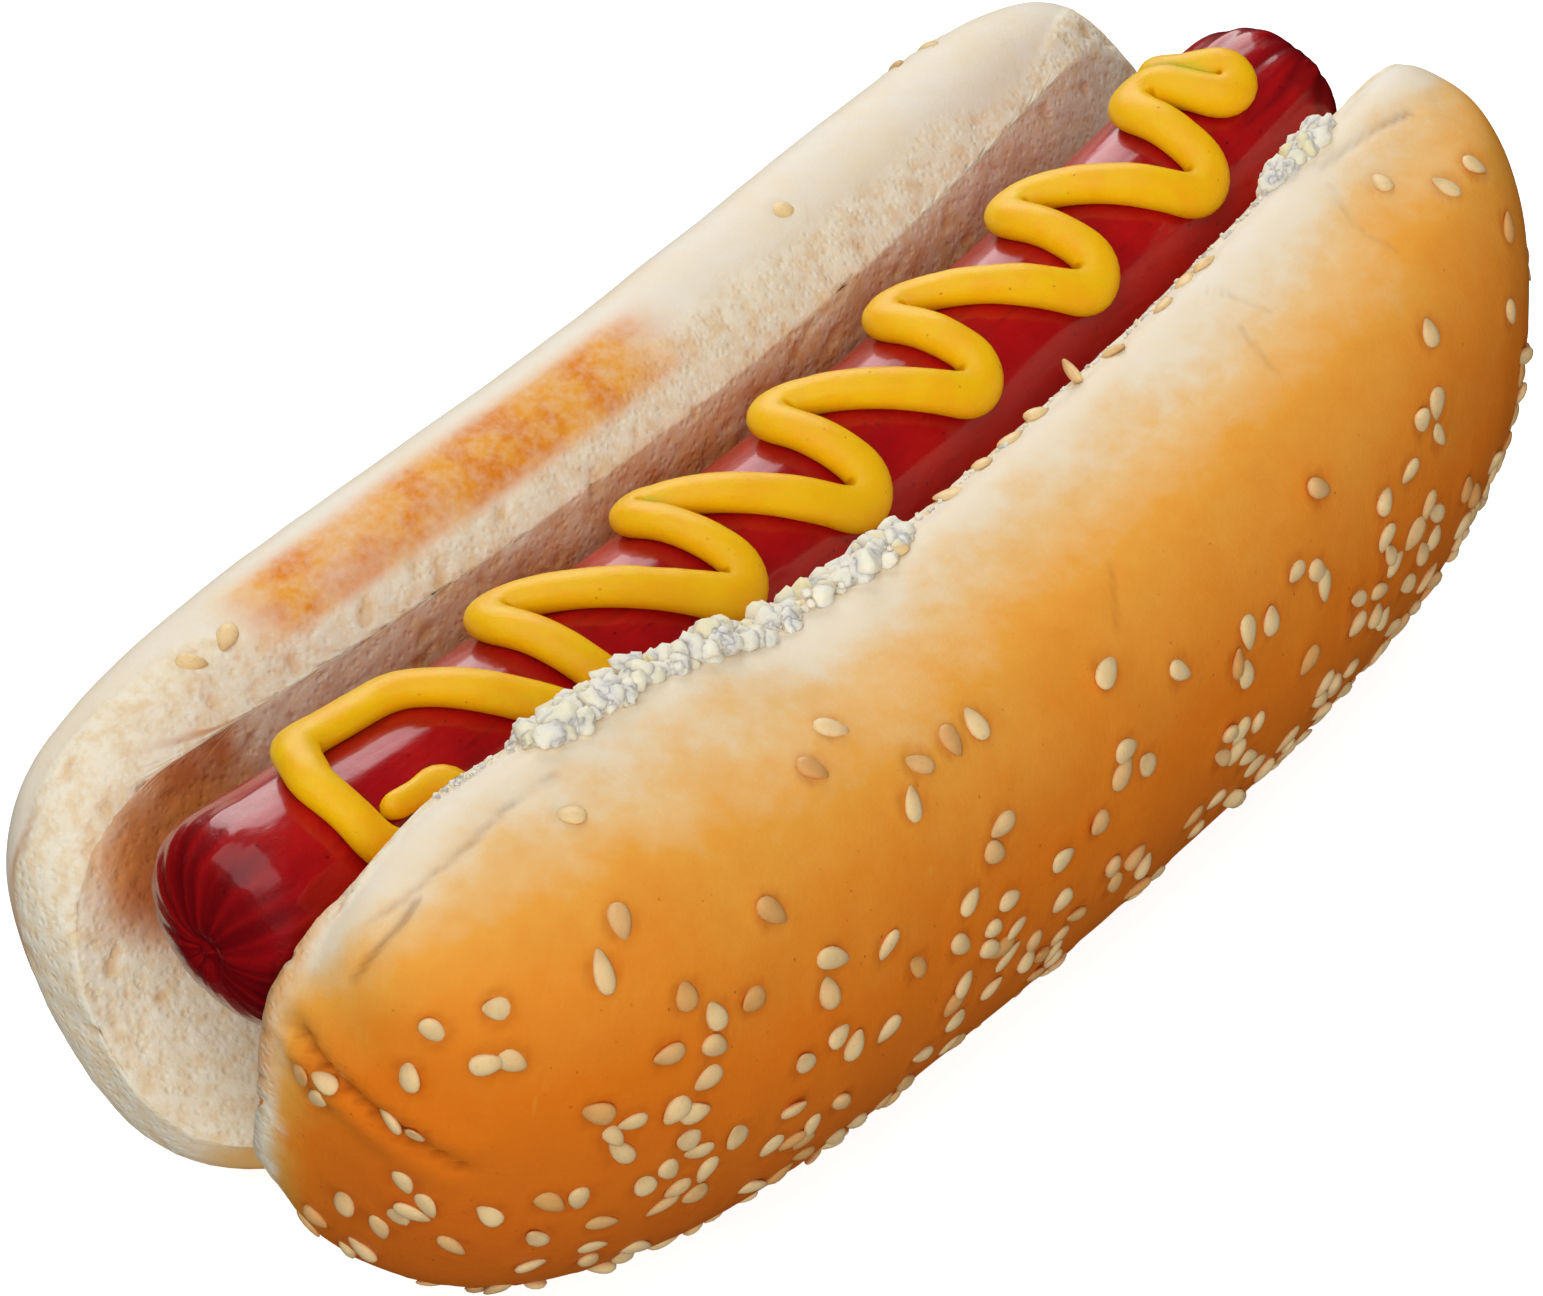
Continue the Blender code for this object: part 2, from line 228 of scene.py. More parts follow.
def grid_quads(ids, closed):
    """Quads between each row of vertex numbers and the next, round to the first column again if closed."""
    after = np.roll(ids, -1, axis=1)
    if not closed:
        ids, after = ids[:, :-1], after[:, :-1]
    return np.stack([ids[:-1], after[:-1], after[1:], ids[1:]], -1).reshape(-1, 4)


def surface_normals(points, quads):
    """Unit normal at each vertex: the sum over its quads of the cross product of their diagonals."""
    across = np.cross(points[quads[:, 2]] - points[quads[:, 0]], points[quads[:, 3]] - points[quads[:, 1]])
    total = np.zeros_like(points)
    for corner in range(4):
        for axis in range(3):
            total[:, axis] += np.bincount(quads[:, corner], across[:, axis], len(points))
    return total / (np.linalg.norm(total, axis=1, keepdims=True) + 1e-12)


def outward(points, quads):
    """The quads, turned round if the volume they enclose comes out negative."""
    a, b, c, d = (points[quads[:, corner]] for corner in range(4))
    volume = (a * np.cross(b, c)).sum() + (a * np.cross(c, d)).sum()
    return quads if volume > 0 else quads[:, ::-1]


def add_piece(name, points, quads, fields, material, node):
    """A shown piece from vertices in nominal millimetres. A quad with two equal corners becomes a triangle.

    fields are numbers per vertex, kept as attributes for the material. The piece rides on the one body.
    """
    doubled = quads == np.roll(quads, -1, axis=1)
    whole = quads[~doubled.any(1)]
    faces = whole.tolist()
    for corner in range(4):
        thin = quads[doubled[:, corner] & (doubled.sum(1) == 1)]
        faces += np.delete(thin, corner, axis=1).tolist()
    mesh = bpy.data.meshes.new(name)
    mesh.from_pydata((points * MM + PLACE).tolist(), [], faces)
    for field, values in fields.items():
        layer = mesh.attributes.new(field, "FLOAT", "POINT")
        layer.data.foreach_set("value", np.asarray(values, np.float32))
    mesh.shade_smooth()
    mesh.materials.append(material)
    mesh.validate()
    piece = bpy.data.objects.new(name, mesh)
    bpy.context.collection.objects.link(piece)
    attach(piece, "root")
    if node:
        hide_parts(node)
    return piece


# ------------------------------------------------------------------------------------------------- materials


def linear(colour):
    """A display colour as scene-linear red, green, blue and an alpha of 1."""
    shown = np.array(colour[:3], float)
    value = np.where(shown > 0.04045, ((shown + 0.055) / 1.055) ** 2.4, shown / 12.92)
    return (*value.tolist(), 1.0)


class Value:
    """A socket in a finish. Arithmetic with numbers and other values adds Math nodes."""

    def __init__(self, finish, socket):
        self.finish = finish
        self.socket = socket

    def math(self, operation, *operands):
        return self.finish.node("ShaderNodeMath", {"operation": operation}, dict(enumerate(operands)))

    def __add__(self, other):
        return self.math("ADD", self, other)

    def __radd__(self, other):
        return self.math("ADD", other, self)

    def __sub__(self, other):
        return self.math("SUBTRACT", self, other)

    def __rsub__(self, other):
        return self.math("SUBTRACT", other, self)

    def __mul__(self, other):
        return self.math("MULTIPLY", self, other)

    def __rmul__(self, other):
        return self.math("MULTIPLY", other, self)

    def __truediv__(self, other):
        return self.math("DIVIDE", self, other)

    def __pow__(self, other):
        return self.math("POWER", self, other)

    def step(self, low, high):
        """0 below low, 1 above high, smooth between."""
        settings = {"interpolation_type": "SMOOTHSTEP"}
        return self.finish.node("ShaderNodeMapRange", settings, {0: self, 1: low, 2: high})


class Finish:
    """A procedural material on its way: nodes are added to it until done() gives the material."""

    def __init__(self, name):
        self.material = bpy.data.materials.new(name)
        self.material.use_nodes = True
        self.nodes = self.material.node_tree.nodes
        self.links = self.material.node_tree.links
        self.nodes.clear()
        place = self.node("ShaderNodeTexCoord", output="Object")
        self.mm = self.node("ShaderNodeVectorMath", {"operation": "SCALE"}, {0: place, "Scale": 1 / MM})

    def node(self, kind, settings=None, inputs=None, output=0):
        """Adds a node, sets its settings, then its sockets, and gives one of its outputs."""
        made = self.nodes.new(kind)
        for key, value in (settings or {}).items():
            if key == "stops":
                self.set_stops(made.color_ramp, value)
            else:
                setattr(made, key, value)
        for key, value in (inputs or {}).items():
            if isinstance(value, Value):
                self.links.new(value.socket, made.inputs[key])
            else:
                made.inputs[key].default_value = value
        return Value(self, made.outputs[output]) if made.outputs else made

    @staticmethod
    def set_stops(ramp, stops):
        """Makes the ramp's stops those of (place, colour) pairs."""
        while len(ramp.elements) > 1:
            ramp.elements.remove(ramp.elements[-1])
        for index, (place, colour) in enumerate(stops):
            element = ramp.elements[0] if index == 0 else ramp.elements.new(place)
            element.position = place
            element.color = colour

    def field(self, name):
        """A number that the mesh carries at each vertex."""
        return self.node("ShaderNodeAttribute", {"attribute_name": name}, output="Fac")

    def noise(self, size, detail=2.0, roughness=0.5, stretch=None, distortion=0.0):
        """Noise from 0 to 1 with features of that size in millimetres, stretched by axis if asked."""
        place = self.mm
        if stretch:
            scale = [1 / value for value in stretch]
            place = self.node("ShaderNodeVectorMath", {"operation": "MULTIPLY"}, {0: place, 1: scale})
        return self.node("ShaderNodeTexNoise", None, {
            "Vector": place, "Scale": 1 / size, "Detail": detail, "Roughness": roughness,
            "Distortion": distortion})

    def cells(self, size, spread=1.0):
        """Distance to the nearest cell centre, with cells of that size in millimetres."""
        inputs = {"Vector": self.mm, "Scale": 1 / size, "Randomness": spread}
        return self.node("ShaderNodeTexVoronoi", None, inputs)

    def ramp(self, value, stops):
        return self.node("ShaderNodeValToRGB", {"stops": stops}, {0: value})

    def mix(self, share, first, second):
        """Colour from first to second as share goes from 0 to 1."""
        settings = {"data_type": "RGBA", "clamp_factor": True}
        return self.node("ShaderNodeMix", settings, {0: share, 6: first, 7: second}, output=2)

    def bump(self, height, distance, below=None):
        """A normal from heights of 0 to 1 that stand for distance in millimetres."""
        inputs = {"Height": height, "Strength": 1.0, "Distance": distance * MM}
        if below:
            inputs["Normal"] = below
        return self.node("ShaderNodeBump", None, inputs)

    def done(self, **sockets):
        """Ends in a Principled shader with those sockets, named with _ for a space."""
        inputs = {name.replace("_", " "): value for name, value in sockets.items()}
        shader = self.node("ShaderNodeBsdfPrincipled", {"subsurface_method": "RANDOM_WALK"}, inputs)
        self.node("ShaderNodeOutputMaterial", None, {0: shader})
        return self.material


# ---------------------------------------------------------------------------------------------------- sausage


def sausage_axis(x):
    """Height of the sausage's centre line and its radius at x: a shallow arc, superelliptic ends, a full near tip."""
    along = x / (SAUSAGE_LENGTH / 2)
    height = SAUSAGE_HEIGHT + SAUSAGE_RISE * np.minimum(along ** 2, 1.3)
    past = np.clip((np.abs(x) - (SAUSAGE_LENGTH / 2 - CAP_LENGTH)) / CAP_LENGTH, 0, 1)
    full = step(x, -60, -76)
    return height - 1.5 * full, SAUSAGE_RADIUS * (1 + 0.08 * full) * (1 - past ** CAP_POWER) ** (1 / CAP_POWER)


def clear_sausage(points, gap, soft=0.0):
    """Moves points out from the sausage's centre line so that none is within gap of its skin.

    The distance d becomes the larger of d and m = radius + gap, or (d + m + sqrt((d - m)^2 + soft^2)) / 2.
    """
    height, radius = sausage_axis(points[..., 0])
    least = radius + gap
    distance = np.hypot(points[..., 1], points[..., 2] - height) + 1e-9
    push = 0.5 * (distance + least + np.sqrt((distance - least) ** 2 + soft ** 2)) / distance
    moved = points.copy()
    moved[..., 1] = points[..., 1] * push
    moved[..., 2] = height + (points[..., 2] - height) * push
    return moved


def end_folds(turn, count, sharpness, rng):
    """Folds that run in to a tip: at each turn, the deepest of count valleys exp(-sharpness (1 - cos)) of its own depth."""
    at = (np.arange(count) + rng.uniform(-0.32, 0.32, count)) * 2 * np.pi / count
    depth = rng.uniform(0.35, 1.0, count)
    valleys = depth * np.exp(-sharpness * (1 - np.cos(turn[..., None] - at)))
    return valleys.max(-1)


def ring_places(count):
    """Places x from tip to tip at even spacing along the skin's outline, half as far apart on the last 15 mm."""
    half = SAUSAGE_LENGTH / 2
    x = half * np.sin(np.linspace(-np.pi / 2, np.pi / 2, 6001))
    _, radius = sausage_axis(x)
    stretch = np.hypot(np.diff(x), np.diff(radius)) * np.where(np.abs(x[1:]) > half - 15, 2.0, 1.0)
    travel = np.concatenate([[0], np.cumsum(stretch)])
    return np.interp(np.linspace(0, travel[-1], count), travel, x)


def sausage_skin(rings, sides):
    """Rings along the arc, r = R(x) - folds at the tips - wrinkles, the near tip drawn in round a small nub."""
    half = SAUSAGE_LENGTH / 2
    x = ring_places(rings)[:, None]
    turn = np.linspace(0, 2 * np.pi, sides, endpoint=False)[None]
    height, radius = sausage_axis(x)
    rng = np.random.default_rng(11)
    tip = np.clip((np.abs(x) - (half - 14)) / 14, 0, 1)
    near = np.where(x < 0, 1.0, 0.0)
    far = 1 - near
    around = np.stack(np.broadcast_arrays(x / 4, np.cos(turn) * 2, np.sin(turn) * 2), -1)
    swing = 0.09 * layered(around, 1.0, 5, 2)
    thin = end_folds(turn + swing, 26, 120.0, rng)
    broad = end_folds(turn + swing, 9, 14.0, rng)
    folds = near * (0.42 * thin + 0.16 * broad) + far * (0.30 * thin + 0.45 * broad)
    room = np.clip(radius / SAUSAGE_RADIUS * 1.8, 0, 1)
    grain_at = np.stack(np.broadcast_arrays(x / 9, 10.5 * np.cos(turn), 10.5 * np.sin(turn)), -1)
    streaks = layered(grain_at, 1.7, 21, 3)
    dents = layered(grain_at * np.array([3.0, 1, 1]), 7.0, 31, 2)
    shrivel = step(x, 46, 76)
    ridges = 1 - np.abs(layered(grain_at * np.array([2.2, 1, 1]), 3.4, 41, 2))
    ring = radius - folds * tip ** 1.3 * room + 0.04 * streaks * room - 0.10 * np.abs(dents) * room
    ring = ring - shrivel * room * (0.42 * ridges - 0.2)
    ring = np.maximum(ring, radius * 0.25)
    pinch = 0.9 * np.exp(-(radius / 2.0) ** 2) - 0.7 * np.exp(-(radius / 0.8) ** 2)
    at = x + near * pinch
    points = np.stack([np.broadcast_to(at, ring.shape), ring * np.sin(turn), height + ring * np.cos(turn)], -1)
    # fold_shade and wrinkle_groove_shade say where the finish paints shade: in the tips' folds and in the grooves of
    # the far end's wrinkles.
    fields = {
        "fold_shade": (0.9 * thin + 0.3 * broad) * tip ** 1.3,
        "tip": np.broadcast_to(tip * near, ring.shape),
        "far_tip": np.broadcast_to(step(x, 58, 80), ring.shape),
        "wrinkle_groove_shade": np.clip(ridges, 0, 1) * shrivel,
    }
    ids = np.arange(rings * sides).reshape(rings, sides)
    ids[0] = ids[0, 0]
    ids[-1] = ids[-1, 0]
    kept, quads = np.unique(grid_quads(ids, True), return_inverse=True)
    points = points.reshape(-1, 3)[kept]
    quads = outward(points, quads.reshape(-1, 4))
    return points, quads, {name: np.asarray(values).reshape(-1)[kept] for name, values in fields.items()}


def sausage_finish(settings):
    """Smoked skin: deep red, with painted shade in the tips' folds and in the grooves of the far end's wrinkles,
    darker at the near tip, fine specks, streaks and a wet gloss.
    """
    finish = Finish("smoked_skin")
    fold_shade = finish.field("fold_shade")
    tip = finish.field("tip")
    far_tip = finish.field("far_tip")
    wrinkle_groove_shade = finish.field("wrinkle_groove_shade")
    patches = finish.noise(9.0, 3.0, 0.55)
    streaks = finish.noise(1.1, 3.0, 0.6, stretch=(7.0, 1.0, 1.0))
    specks = finish.cells(1.9)
    fine = finish.noise(0.32, 2.0, 0.6)
    red = linear(settings.skin)
    dark = linear(settings.dark_skin)
    bright = linear(settings.bright_skin)
    colour = finish.mix(patches.step(0.35, 0.72) * 0.6, red, bright)
    colour = finish.mix(streaks.step(0.5, 0.8) * 0.45, colour, dark)
    colour = finish.mix(tip.step(0.05, 1.0) * 0.35, colour, dark)
    # Painted shade: the tips' folds darkened to a near-black red.
    colour = finish.mix(fold_shade.step(0.1, 0.8) * 0.6, colour, linear((0.26, 0.0, 0.02)))
    # Painted shade: the grooves of the far end's wrinkles darkened.
    colour = finish.mix(wrinkle_groove_shade.step(0.55, 1.0) * 0.6, colour, dark)
    colour = finish.mix(far_tip * patches.step(0.5, 0.7) * 0.5, colour, linear((0.14, 0.02, 0.03)))
    colour = finish.mix((1 - specks.step(0.06, 0.15)) * fine.step(0.42, 0.6) * 0.7, colour, linear((0.22, 0.01, 0.02)))
    height = streaks * 0.5 + finish.noise(0.8, 3.0, 0.6) * 0.35 + fine * 0.15
    normal = finish.bump(height, 0.14)
    normal = finish.bump(finish.noise(4.2, 2.0, 0.5), 0.35, normal)
    roughness = 0.24 + streaks * 0.16 + fine.step(0.35, 0.8) * 0.12
    return finish.done(
        Base_Color=colour, Roughness=roughness, Normal=normal, Specular_IOR_Level=0.2,
        Coat_Weight=0.7, Coat_Roughness=0.13)


# ---------------------------------------------------------------------------------------------------- mustard


def even_spacing(path, spacing):
    """The path's points at that spacing along it, by straight lines between them."""
    travel = np.concatenate([[0], np.cumsum(np.linalg.norm(np.diff(path, axis=0), axis=1))])
    even = np.linspace(0, travel[-1], int(travel[-1] / spacing))
    return np.stack([np.interp(even, travel, column) for column in path.T], -1)


def mustard_path(spacing):
    """The bead's centre line unrolled, along the sausage by round it in millimetres, at that spacing.

    Between pegs k and k + 1, d apart in direction f, it heads h = f + asin((r_k - r_k+1) / d). Round peg k it is
    c + r (sin h, -cos h) as h turns from one heading to the next. A short Hann window then eases its bends.
    """
    per_degree = np.pi / 180 * SAUSAGE_RADIUS
    pegs = np.array(MUSTARD_PEGS, float)
    turn = pegs[:, 2]
    centre = np.stack([pegs[:, 0], pegs[:, 1] * per_degree - np.sign(pegs[:, 1]) * np.abs(turn)], -1)
    apart = np.diff(centre, axis=0)
    heading = np.arctan2(apart[:, 1], apart[:, 0])
    heading = heading + np.arcsin(-np.diff(turn) / np.linalg.norm(apart, axis=1))
    path = [centre[:1]]
    for peg in range(1, len(pegs) - 1):
        swing = (heading[peg] - heading[peg - 1]) * np.sign(turn[peg]) % (2 * np.pi) * np.sign(turn[peg])
        angle = heading[peg - 1] + np.linspace(0, swing, 25)
        path.append(centre[peg] + turn[peg] * np.stack([np.sin(angle), -np.cos(angle)], -1))
    fine = even_spacing(np.concatenate(path + [centre[-1:]]), 0.2)
    window = np.hanning(int(PATH_EASE / 0.2) * 2 + 1)
    pad = len(window) // 2
    padded = np.pad(fine, ((pad, pad), (0, 0)), mode="reflect", reflect_type="odd")
    eased = np.stack([np.convolve(column, window / window.sum(), "valid") for column in padded.T], -1)
    return even_spacing(eased, spacing)


def strand_lift(path, spacing, width):
    """How far each station rides up, 0 to 1, where it lies over a stretch of the path laid down before it."""
    travel = np.arange(len(path)) * spacing
    apart = np.linalg.norm(path[:, None] - path[None], axis=-1)
    earlier = travel[:, None] - travel[None] > 3.2 * width
    overlap = np.where(earlier, np.clip(1.2 - 1.6 * apart / width, 0, 1), 0).max(1)
    window = np.hanning(int(1.6 * width / spacing) | 1)
    return np.convolve(overlap, window / window.sum(), "same")


def mustard_bead(settings):
    """A round bead carried along the unrolled path and wrapped on the sausage.

    Its section is side = cos a, rise = 0.42 + 0.58 sin a, a from -0.82 to pi + 0.82, closed underneath.
    It is fuller where the path bends, swells a little along the way, and ends in a quarter ellipse.
    """
    spacing = 0.5
    width = settings.bead_width / MM
    tall = settings.bead_height / MM
    path = mustard_path(spacing)
    along = np.gradient(path, axis=0)
    along /= np.linalg.norm(along, axis=1)[:, None]
    across = np.stack([-along[:, 1], along[:, 0]], -1)
    travel = np.arange(len(path)) * spacing
    from_end = np.clip(np.minimum(travel, travel[::-1]) / 2.0, 0.0, 1)
    cap = np.sqrt(np.clip(1 - (1 - from_end) ** 2, 0, 1)) * 0.999 + 0.001
    turning = (np.gradient(along, axis=0) * across).sum(1)[:, None] / spacing
    bend = np.abs(turning[:, 0])
    window = np.hanning(13)
    bend = np.clip(np.convolve(bend, window / window.sum(), "same") / 0.42, 0, 1)
    line = np.stack([travel, 0 * travel, 0 * travel], -1)
    thin_tail = 1 - 0.38 * step(travel, travel[-1] - 9, travel[-1] - 4)
    swell = cap * thin_tail * (1 + 0.05 * bend + 0.04 * noise(line, 9.0, 3) + 0.025 * noise(line, 3.5, 4))
    arc = np.linspace(-0.82, np.pi + 0.82, 27)
    side = np.concatenate([np.cos(arc), [-0.36, 0.0, 0.36]])
    rise = np.concatenate([0.42 + 0.58 * np.sin(arc), [-0.06, -0.08, -0.06]])
    offset = side[None] * width / 2 * swell[:, None]
    offset = offset * np.minimum(1, INNER_SHARE / np.maximum(offset * turning, 1e-6))
    flat = path[:, None] + across[:, None] * offset[..., None]
    height, radius = sausage_axis(flat[..., 0])
    lift = strand_lift(path, spacing, width) * tall * 0.55
    place = np.stack([flat[..., 0], flat[..., 1], np.broadcast_to(rise * tall, flat.shape[:2])], -1)
    ripple = 0.05 * noise(place, 2.2, 8) + 0.03 * noise(place, 0.9, 9)
    up = tall * rise[None] * (swell * (1 + 0.05 * noise(line, 6.0, 6)))[:, None]
    reach = radius + 0.05 + up + (lift[:, None] + ripple) * np.clip(rise[None] * 2.5, 0, 1)
    angle = flat[..., 1] / SAUSAGE_RADIUS
    points = np.stack([flat[..., 0], reach * np.sin(angle), height + reach * np.cos(angle)], -1)
    rows, sides = points.shape[:2]
    ids = np.arange(rows * sides).reshape(rows, sides)
    first = np.full(sides, rows * sides)
    ends = np.stack([points[0].mean(0), points[-1].mean(0)])
    quads = grid_quads(np.vstack([first, ids, first + 1]), True)
    points = np.vstack([points.reshape(-1, 3), ends])
    return points, outward(points, quads)


def mustard_finish(settings):
    """Smooth yellow sauce: orange where it is thin or thick in shade, fine grain, tiny bubbles with painted shade in
    their pits, satin gloss.
    """
    finish = Finish("yellow_mustard")
    grain = finish.noise(0.28, 2.0, 0.6)
    drift = finish.noise(3.5, 2.0, 0.5)
    bubbles = finish.cells(1.3)
    holes = (1 - bubbles.step(0.05, 0.13)) * finish.noise(4.0, 1.0).step(0.5, 0.62)
    colour = finish.mix(drift.step(0.35, 0.7) * 0.55, linear(settings.sauce), linear(settings.deep_sauce))
    colour = finish.mix(grain.step(0.62, 0.8) * 0.25, colour, linear((0.88, 0.56, 0.0)))
    # Painted shade: the bubbles' pits darker orange.
    colour = finish.mix(holes * 0.6, colour, linear((0.78, 0.45, 0.0)))
    height = grain * 0.4 + drift * 0.3 - holes * 0.8
    return finish.done(
        Base_Color=colour, Roughness=0.36 + grain * 0.14, Normal=finish.bump(height, 0.09),
        Specular_IOR_Level=0.35, Subsurface_Weight=0.8, Subsurface_Radius=(1.0, 0.32, 0.02),
        Subsurface_Scale=1.6 * MM)


# ------------------------------------------------------------------------------------------------------ bread


def profile(w, name):
    """Across and up, on the inner or outer profile, at rows w: each half's curve read at |w| of its length."""
    grid = np.linspace(0, 1, 401)
    halves = []
    for half in (SEEDED, PALE):
        curve = smooth_curve(getattr(half, name), 401)
        halves.append(np.stack([np.interp(np.abs(w), grid, column) for column in curve.T], -1))
    return np.where(w[..., None] < 0, halves[0], halves[1])


def by_half(w, x, name):
    """A half's value at each point, blended across the hinge by smoothstep."""
    seeded, pale = [np.where(x < 0, *np.broadcast_to(getattr(half, name), 2)) for half in (SEEDED, PALE)]
    share = np.clip(0.5 + 0.5 * w / HINGE_BLEND, 0, 1)
    return seeded + (pale - seeded) * share ** 2 * (3 - 2 * share)


def swing_and_press(x, y, z, w):
    """Turns a half about the fold line and lifts it, as (x / reach)^2 grows, and presses the base flat."""
    growth = (x / LEAN_REACH) ** 2
    turn = np.radians(by_half(w, x, "lean")) * growth
    up = z - FOLD_HEIGHT
    up = up + by_half(w, x, "lift") * growth * np.clip(up / RIM_HEIGHT, 0, None)
    over = FOLD_HEIGHT + y * np.sin(turn) + up * np.cos(turn) - BASE_PRESS
    curved = np.clip(over + BASE_SOFTNESS, 0, None) ** 2 / (4 * BASE_SOFTNESS)
    return y * np.cos(turn) - up * np.sin(turn), BASE_PRESS + np.where(over < BASE_SOFTNESS, curved, over)


def bread_shell(w, along):
    """Crust and slit surfaces at rows w and stations s = along, in millimetres.

    A row ends at x = hinge / 2 + reach (1 - t^p)^(1/p), t = |2|w| - 1|. The crust stands off the slit's
    profile by (1 - |s|^e)^(1/e) of its full thickness, and the slit's bottom is lifted by (1 - s^2)(1 - |w|)^2.
    """
    w, along = np.broadcast_arrays(w, along)
    tip = np.abs(2 * np.abs(w) - 1)
    power = by_half(w, along, "power")
    x = (HINGE_LENGTH / 2 + by_half(w, along, "reach") * (1 - tip ** power) ** (1 / power)) * along
    thick = (1 - np.abs(along) ** END_POWER) ** (1 / END_POWER)
    inner = profile(w, "inner")
    outer = profile(w, "outer")
    inner[..., 1] += SLIT_LIFT * (1 - along ** 2) * (1 - np.abs(w)) ** 2
    base = profile(w, "inner")
    outer = base + (outer - base) * thick[..., None]
    torn = step(1 - ((x - TORN_MIDDLE) / TORN_REACH) ** 2, 0, 1) * np.clip((-w - 0.7) / 0.3, 0, 1) ** 2
    shells = []
    for section in (outer, inner):
        y, z = swing_and_press(x, section[..., 0], section[..., 1], w)
        shells.append(np.stack([x, y + TORN_LEAN * torn, z + TORN_RISE * torn], -1))
    return shells[0], clear_sausage(shells[1], CRUMB_CLEARANCE + 0.1, 1.6)


def row_length(w, along):
    """Half the length of row w on the side of the sign of along."""
    tip = np.abs(2 * np.abs(w) - 1)
    power = by_half(w, along, "power")
    return HINGE_LENGTH / 2 + by_half(w, along, "reach") * (1 - tip ** power) ** (1 / power)


def crust_stations(count):
    """Stations s at even spacing along the superellipse (80 s, 14 (1 - |s|^e)^(1/e)), an average row's outline."""
    angle = np.linspace(0, np.pi, 8001)
    s = -np.sign(np.cos(angle)) * np.abs(np.cos(angle)) ** (2 / END_POWER)
    thick = np.sin(angle).clip(0) ** (2 / END_POWER)
    travel = np.concatenate([[0], np.cumsum(np.hypot(80 * np.diff(s), 14 * np.diff(thick)))])
    return np.interp(np.linspace(0, travel[-1], count), travel, s)


@functools.lru_cache(maxsize=None)
def bread_base():
    """The bread's closed grid with its relief, before seeds press into it: points, quads, normals, fields.

    Rows w run from rim to rim over the hinge. Each is one loop, out along the crust and back along the slit.
    Rows crowd at the rims as |w| = 1 - 0.6 u^1.3. The slit's stations crowd at the ends by a sine, and so do
    the crust's at the rims, which it shares, but elsewhere the crust's are those of crust_stations.
    """
    seeded = -1 + 0.6 * np.linspace(0, 1, 73)[:-1] ** 1.3
    low = np.concatenate([-0.4 * np.linspace(1, 0, 19)[:-1] ** 1.3, 0.4 * np.linspace(0, 1, 17)[:-1] ** 1.3])
    pale = 1 - 0.6 * np.linspace(1, 0, 51) ** 1.3
    w = np.concatenate([seeded, low, pale])
    spread = np.linspace(-1, 1, 312)
    s = 0.7 * np.sin(0.5 * np.pi * spread) + 0.3 * spread
    inland = step(1 - np.abs(w), 0, 0.08)[:, None]
    crust_s = s + (crust_stations(len(s)) - s) * inland
    crust, _ = bread_shell(w[:, None], crust_s)
    _, slit = bread_shell(w[:, None], s[None])
    crust[[0, -1]] = slit[[0, -1]]
    crust[:, [0, -1]] = slit[:, [0, -1]]
    rows, count = len(w), len(s)
    grid = np.concatenate([crust, slit[:, -2:0:-1]], 1)
    at_w = np.broadcast_to(w[:, None], grid.shape[:2])
    at_s = np.concatenate([crust_s, np.broadcast_to(s[-2:0:-1], (rows, count - 2))], 1)
    is_slit = np.broadcast_to(np.arange(grid.shape[1])[None] >= count, grid.shape[:2]).astype(float)
    ids = np.arange(grid.shape[0] * grid.shape[1]).reshape(grid.shape[:2])
    for row in (0, rows - 1):
        ids[row, count:] = ids[row, count - 2:0:-1]
    kept, quads = np.unique(grid_quads(ids, True), return_inverse=True)
    quads = quads.reshape(-1, 4)
    points = grid.reshape(-1, 3)[kept]
    quads = outward(points, quads)
    stands = np.linalg.norm(profile(at_w, "outer") - profile(at_w, "inner"), axis=-1)
    stands = stands * (1 - np.abs(at_s) ** END_POWER) ** (1 / END_POWER) * (1 - is_slit)
    edge = np.hypot((1 - np.abs(at_s)) * row_length(at_w, at_s), stands)
    place = {"w": at_w, "s": at_s, "slit": is_slit, "edge": edge}
    place = {name: values.reshape(-1)[kept] for name, values in place.items()}
    fields = bread_fields(points, place)
    normals = surface_normals(points, quads)
    points = points + normals * bread_relief(points, fields)[:, None]
    points = clear_sausage(points, CRUMB_CLEARANCE)
    points[:, 2] = np.maximum(points[:, 2], 1.2)
    return points, quads, surface_normals(points, quads), fields


